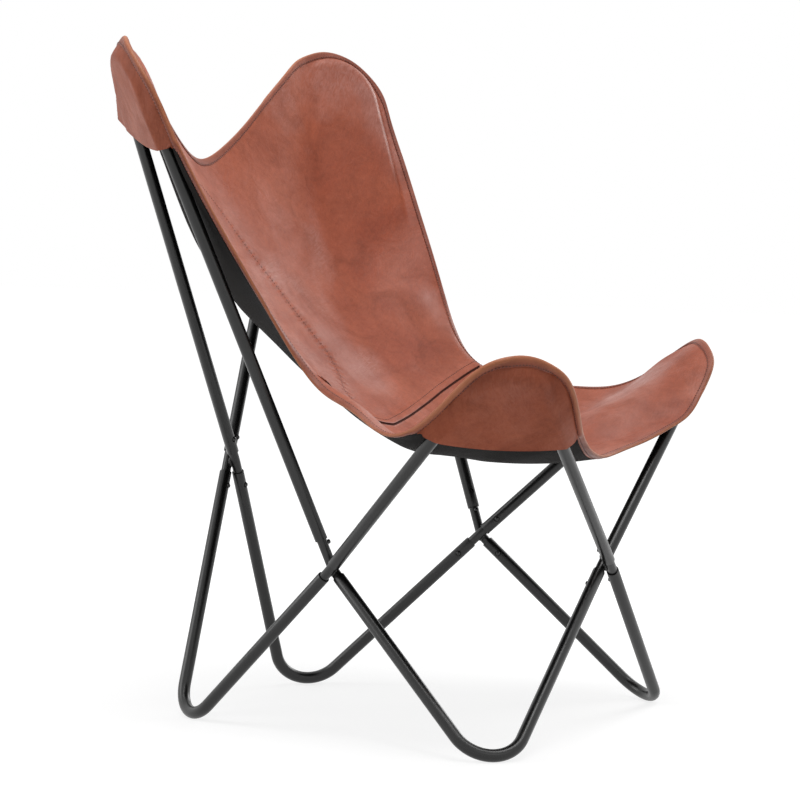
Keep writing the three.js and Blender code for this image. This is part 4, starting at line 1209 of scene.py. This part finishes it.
def facing(hit, up):
    """The place that was hit and the normal there, on the side of this way."""
    p, n = np.array(hit[0]), np.array(hit[1])
    return p, n if n @ up > 0 else -n


def seam_place(x, back):
    """A place on the leather this far behind the seam's line, and the normal there."""
    y = float(np.polyval(seam_curve, min(abs(x), SEAM_REACH)))
    hit = skin_tree.ray_cast(Vector((x, y, 2000)), Vector(-UP))
    if hit[0] is None:
        return None
    p, n = facing(hit, UP)
    way = unit(np.cross(vec(1, 0, 0), n))
    way = way if way[1] >= 0 else -way
    return facing(skin_tree.find_nearest(Vector(p + way * back)), n)


SEAM_HALF = 250.0
SEAM_STEPS = 170
STITCH_BEHIND = 9.5
STITCH_LIFT = 1.35
# The lap's section: distance behind the seam's line, height over the leather, how dark it is there;
# the dark rows are the raw edge and, in front of it, a painted shadow on the front panel
LAP_SECTION = [(-2.6, -0.4, 1), (-2.4, 0.15, 1), (-0.3, 0.25, 1), (-0.2, 1.5, 1), (0.3, 1.95, 0.4),
               (1.2, 2.1, 0), (5.0, 1.75, 0), (9.5, 1.25, 0), (13.0, 0.75, 0), (17.0, -0.3, 0),
               (14.0, -0.7, 0), (1.0, -0.7, 0)]
lap_rows, seam_row, seam_up = [], [], []
for x in np.linspace(-SEAM_HALF, SEAM_HALF, SEAM_STEPS):
    places = [seam_place(x, back) for back, _, _ in LAP_SECTION]
    if places[0] is not None:
        lap_rows += [p + n * high for (p, n), (_, high, _) in zip(places, LAP_SECTION)]
        p, n = seam_place(x, STITCH_BEHIND)
        seam_row.append(p + n * STITCH_LIFT)
        seam_up.append(n)
seam_lap = new_object("cross_seam_lap", lap_rows, tube_faces(len(seam_row), len(LAP_SECTION)),
                      sling_leather, 55)
# Dark raw edge of the lap, and a painted shadow on the front panel just in front of it
paint(seam_lap, "edge_and_painted_shadow", np.tile([dark for _, _, dark in LAP_SECTION], len(seam_row)))
keep(seam_lap, "tan_leather")
seam_stitches = make_stitches("cross_seam_stitches", [(np.array(seam_row), np.array(seam_up))])

# The puckered row of stitches along the back
pucker_places = [facing(skin_tree.find_nearest(Vector(p)), UP) for p in pucker_line]
pucker_row, pucker_up = (np.array(part) for part in zip(*pucker_places))
pucker_stitches = make_stitches("side_stitches", [(pucker_row, pucker_up)], 4.6, 3.2, 0.05)


# Floor and backdrop: both white to the camera, with the chair's own soft shadow on the floor
def seen_directly(n):
    """1 for rays from the camera, or by a mirror or glass, and 0 for the light itself."""
    rays = n.add("LightPath").node.outputs
    seen = n.math("MAXIMUM", rays["Is Camera Ray"], rays["Is Glossy Ray"])
    return n.math("MAXIMUM", seen, rays["Is Transmission Ray"])


def floor_material():
    n = new_material("studio floor")
    away = n.add("VectorMath", {0: n.place}, "Value", operation="LENGTH")
    glow = n.add("Emission", {"Strength": n.map(away, 0.5, 1.2, 0.8, 1.0)})
    catch, bounce = (n.add("BsdfDiffuse", {"Color": (grey, grey, grey, 1)}) for grey in (0.3, 0.8))
    shown = n.add("AddShader", {0: glow, 1: catch})
    chosen = n.add("MixShader", {0: seen_directly(n), 1: bounce, 2: shown})
    n.fill(n.tree.nodes["Material Output"], {"Surface": chosen})
    n.tree.nodes.remove(n.tree.nodes["Principled BSDF"])
    return n.owner


FLOOR_SIDE = 14000.0
corners = [(x * FLOOR_SIDE, y * FLOOR_SIDE, 0) for x, y in ((-1, -1), (1, -1), (1, 1), (-1, 1))]
floor = new_object("studio_floor", corners, [(0, 1, 2, 3)], floor_material())

world = bpy.data.worlds.new("studio")
bpy.context.scene.world = world
n = Nodes(world)
n.fill(n.tree.nodes["Background"],
       {"Color": (1, 1, 1, 1), "Strength": n.map(seen_directly(n), 0.0, 1.0, 0.24, 1.0)})


def add_to_scene(name, data):
    made = bpy.data.objects.new(name, data)
    bpy.context.scene.collection.objects.link(made)
    return made


# Lamps: place and target in metres, both sides in metres, power in watts
LAMPS = {
    "left": ((-1.5, 2.7, 1.6), (0, 0, 0.5), (2.0, 2.0), 36),
    "top": ((-0.3, -0.4, 3.3), (0, 0, 0.4), (2.2, 2.2), 78),
    "front": ((-1.8, -2.8, 1.9), (0, 0, 0.4), (2.0, 1.6), 6),
    "right": ((3.2, -0.9, 1.6), (0, 0, 0.5), (1.6, 1.6), 30),
}
for name, (place, target, size, power) in LAMPS.items():
    light = bpy.data.lights.new(name, "AREA")
    light.shape = "RECTANGLE"
    light.size, light.size_y = size
    light.energy = power
    lamp = add_to_scene(name, light)
    lamp.location = place
    way = Vector(target) - Vector(place)
    lamp.rotation_euler = way.to_track_quat("-Z", "Y").to_euler()

# Camera at the photograph's place
SENSOR = 36.0
camera_data = bpy.data.cameras.new("camera")
camera_data.sensor_width = SENSOR
camera_data.lens = FOCAL_PIXELS / IMAGE_SIDE * SENSOR
camera_data.clip_end = 60.0
camera = add_to_scene("camera", camera_data)
turn = Matrix((camera_right, camera_up, -forward)).transposed().to_4x4()
camera.matrix_world = Matrix.Translation((CAMERA_PLACE + FRAME_OFFSET) * MM) @ turn
bpy.context.scene.camera = camera
bpy.context.scene.view_settings.view_transform = "Standard"
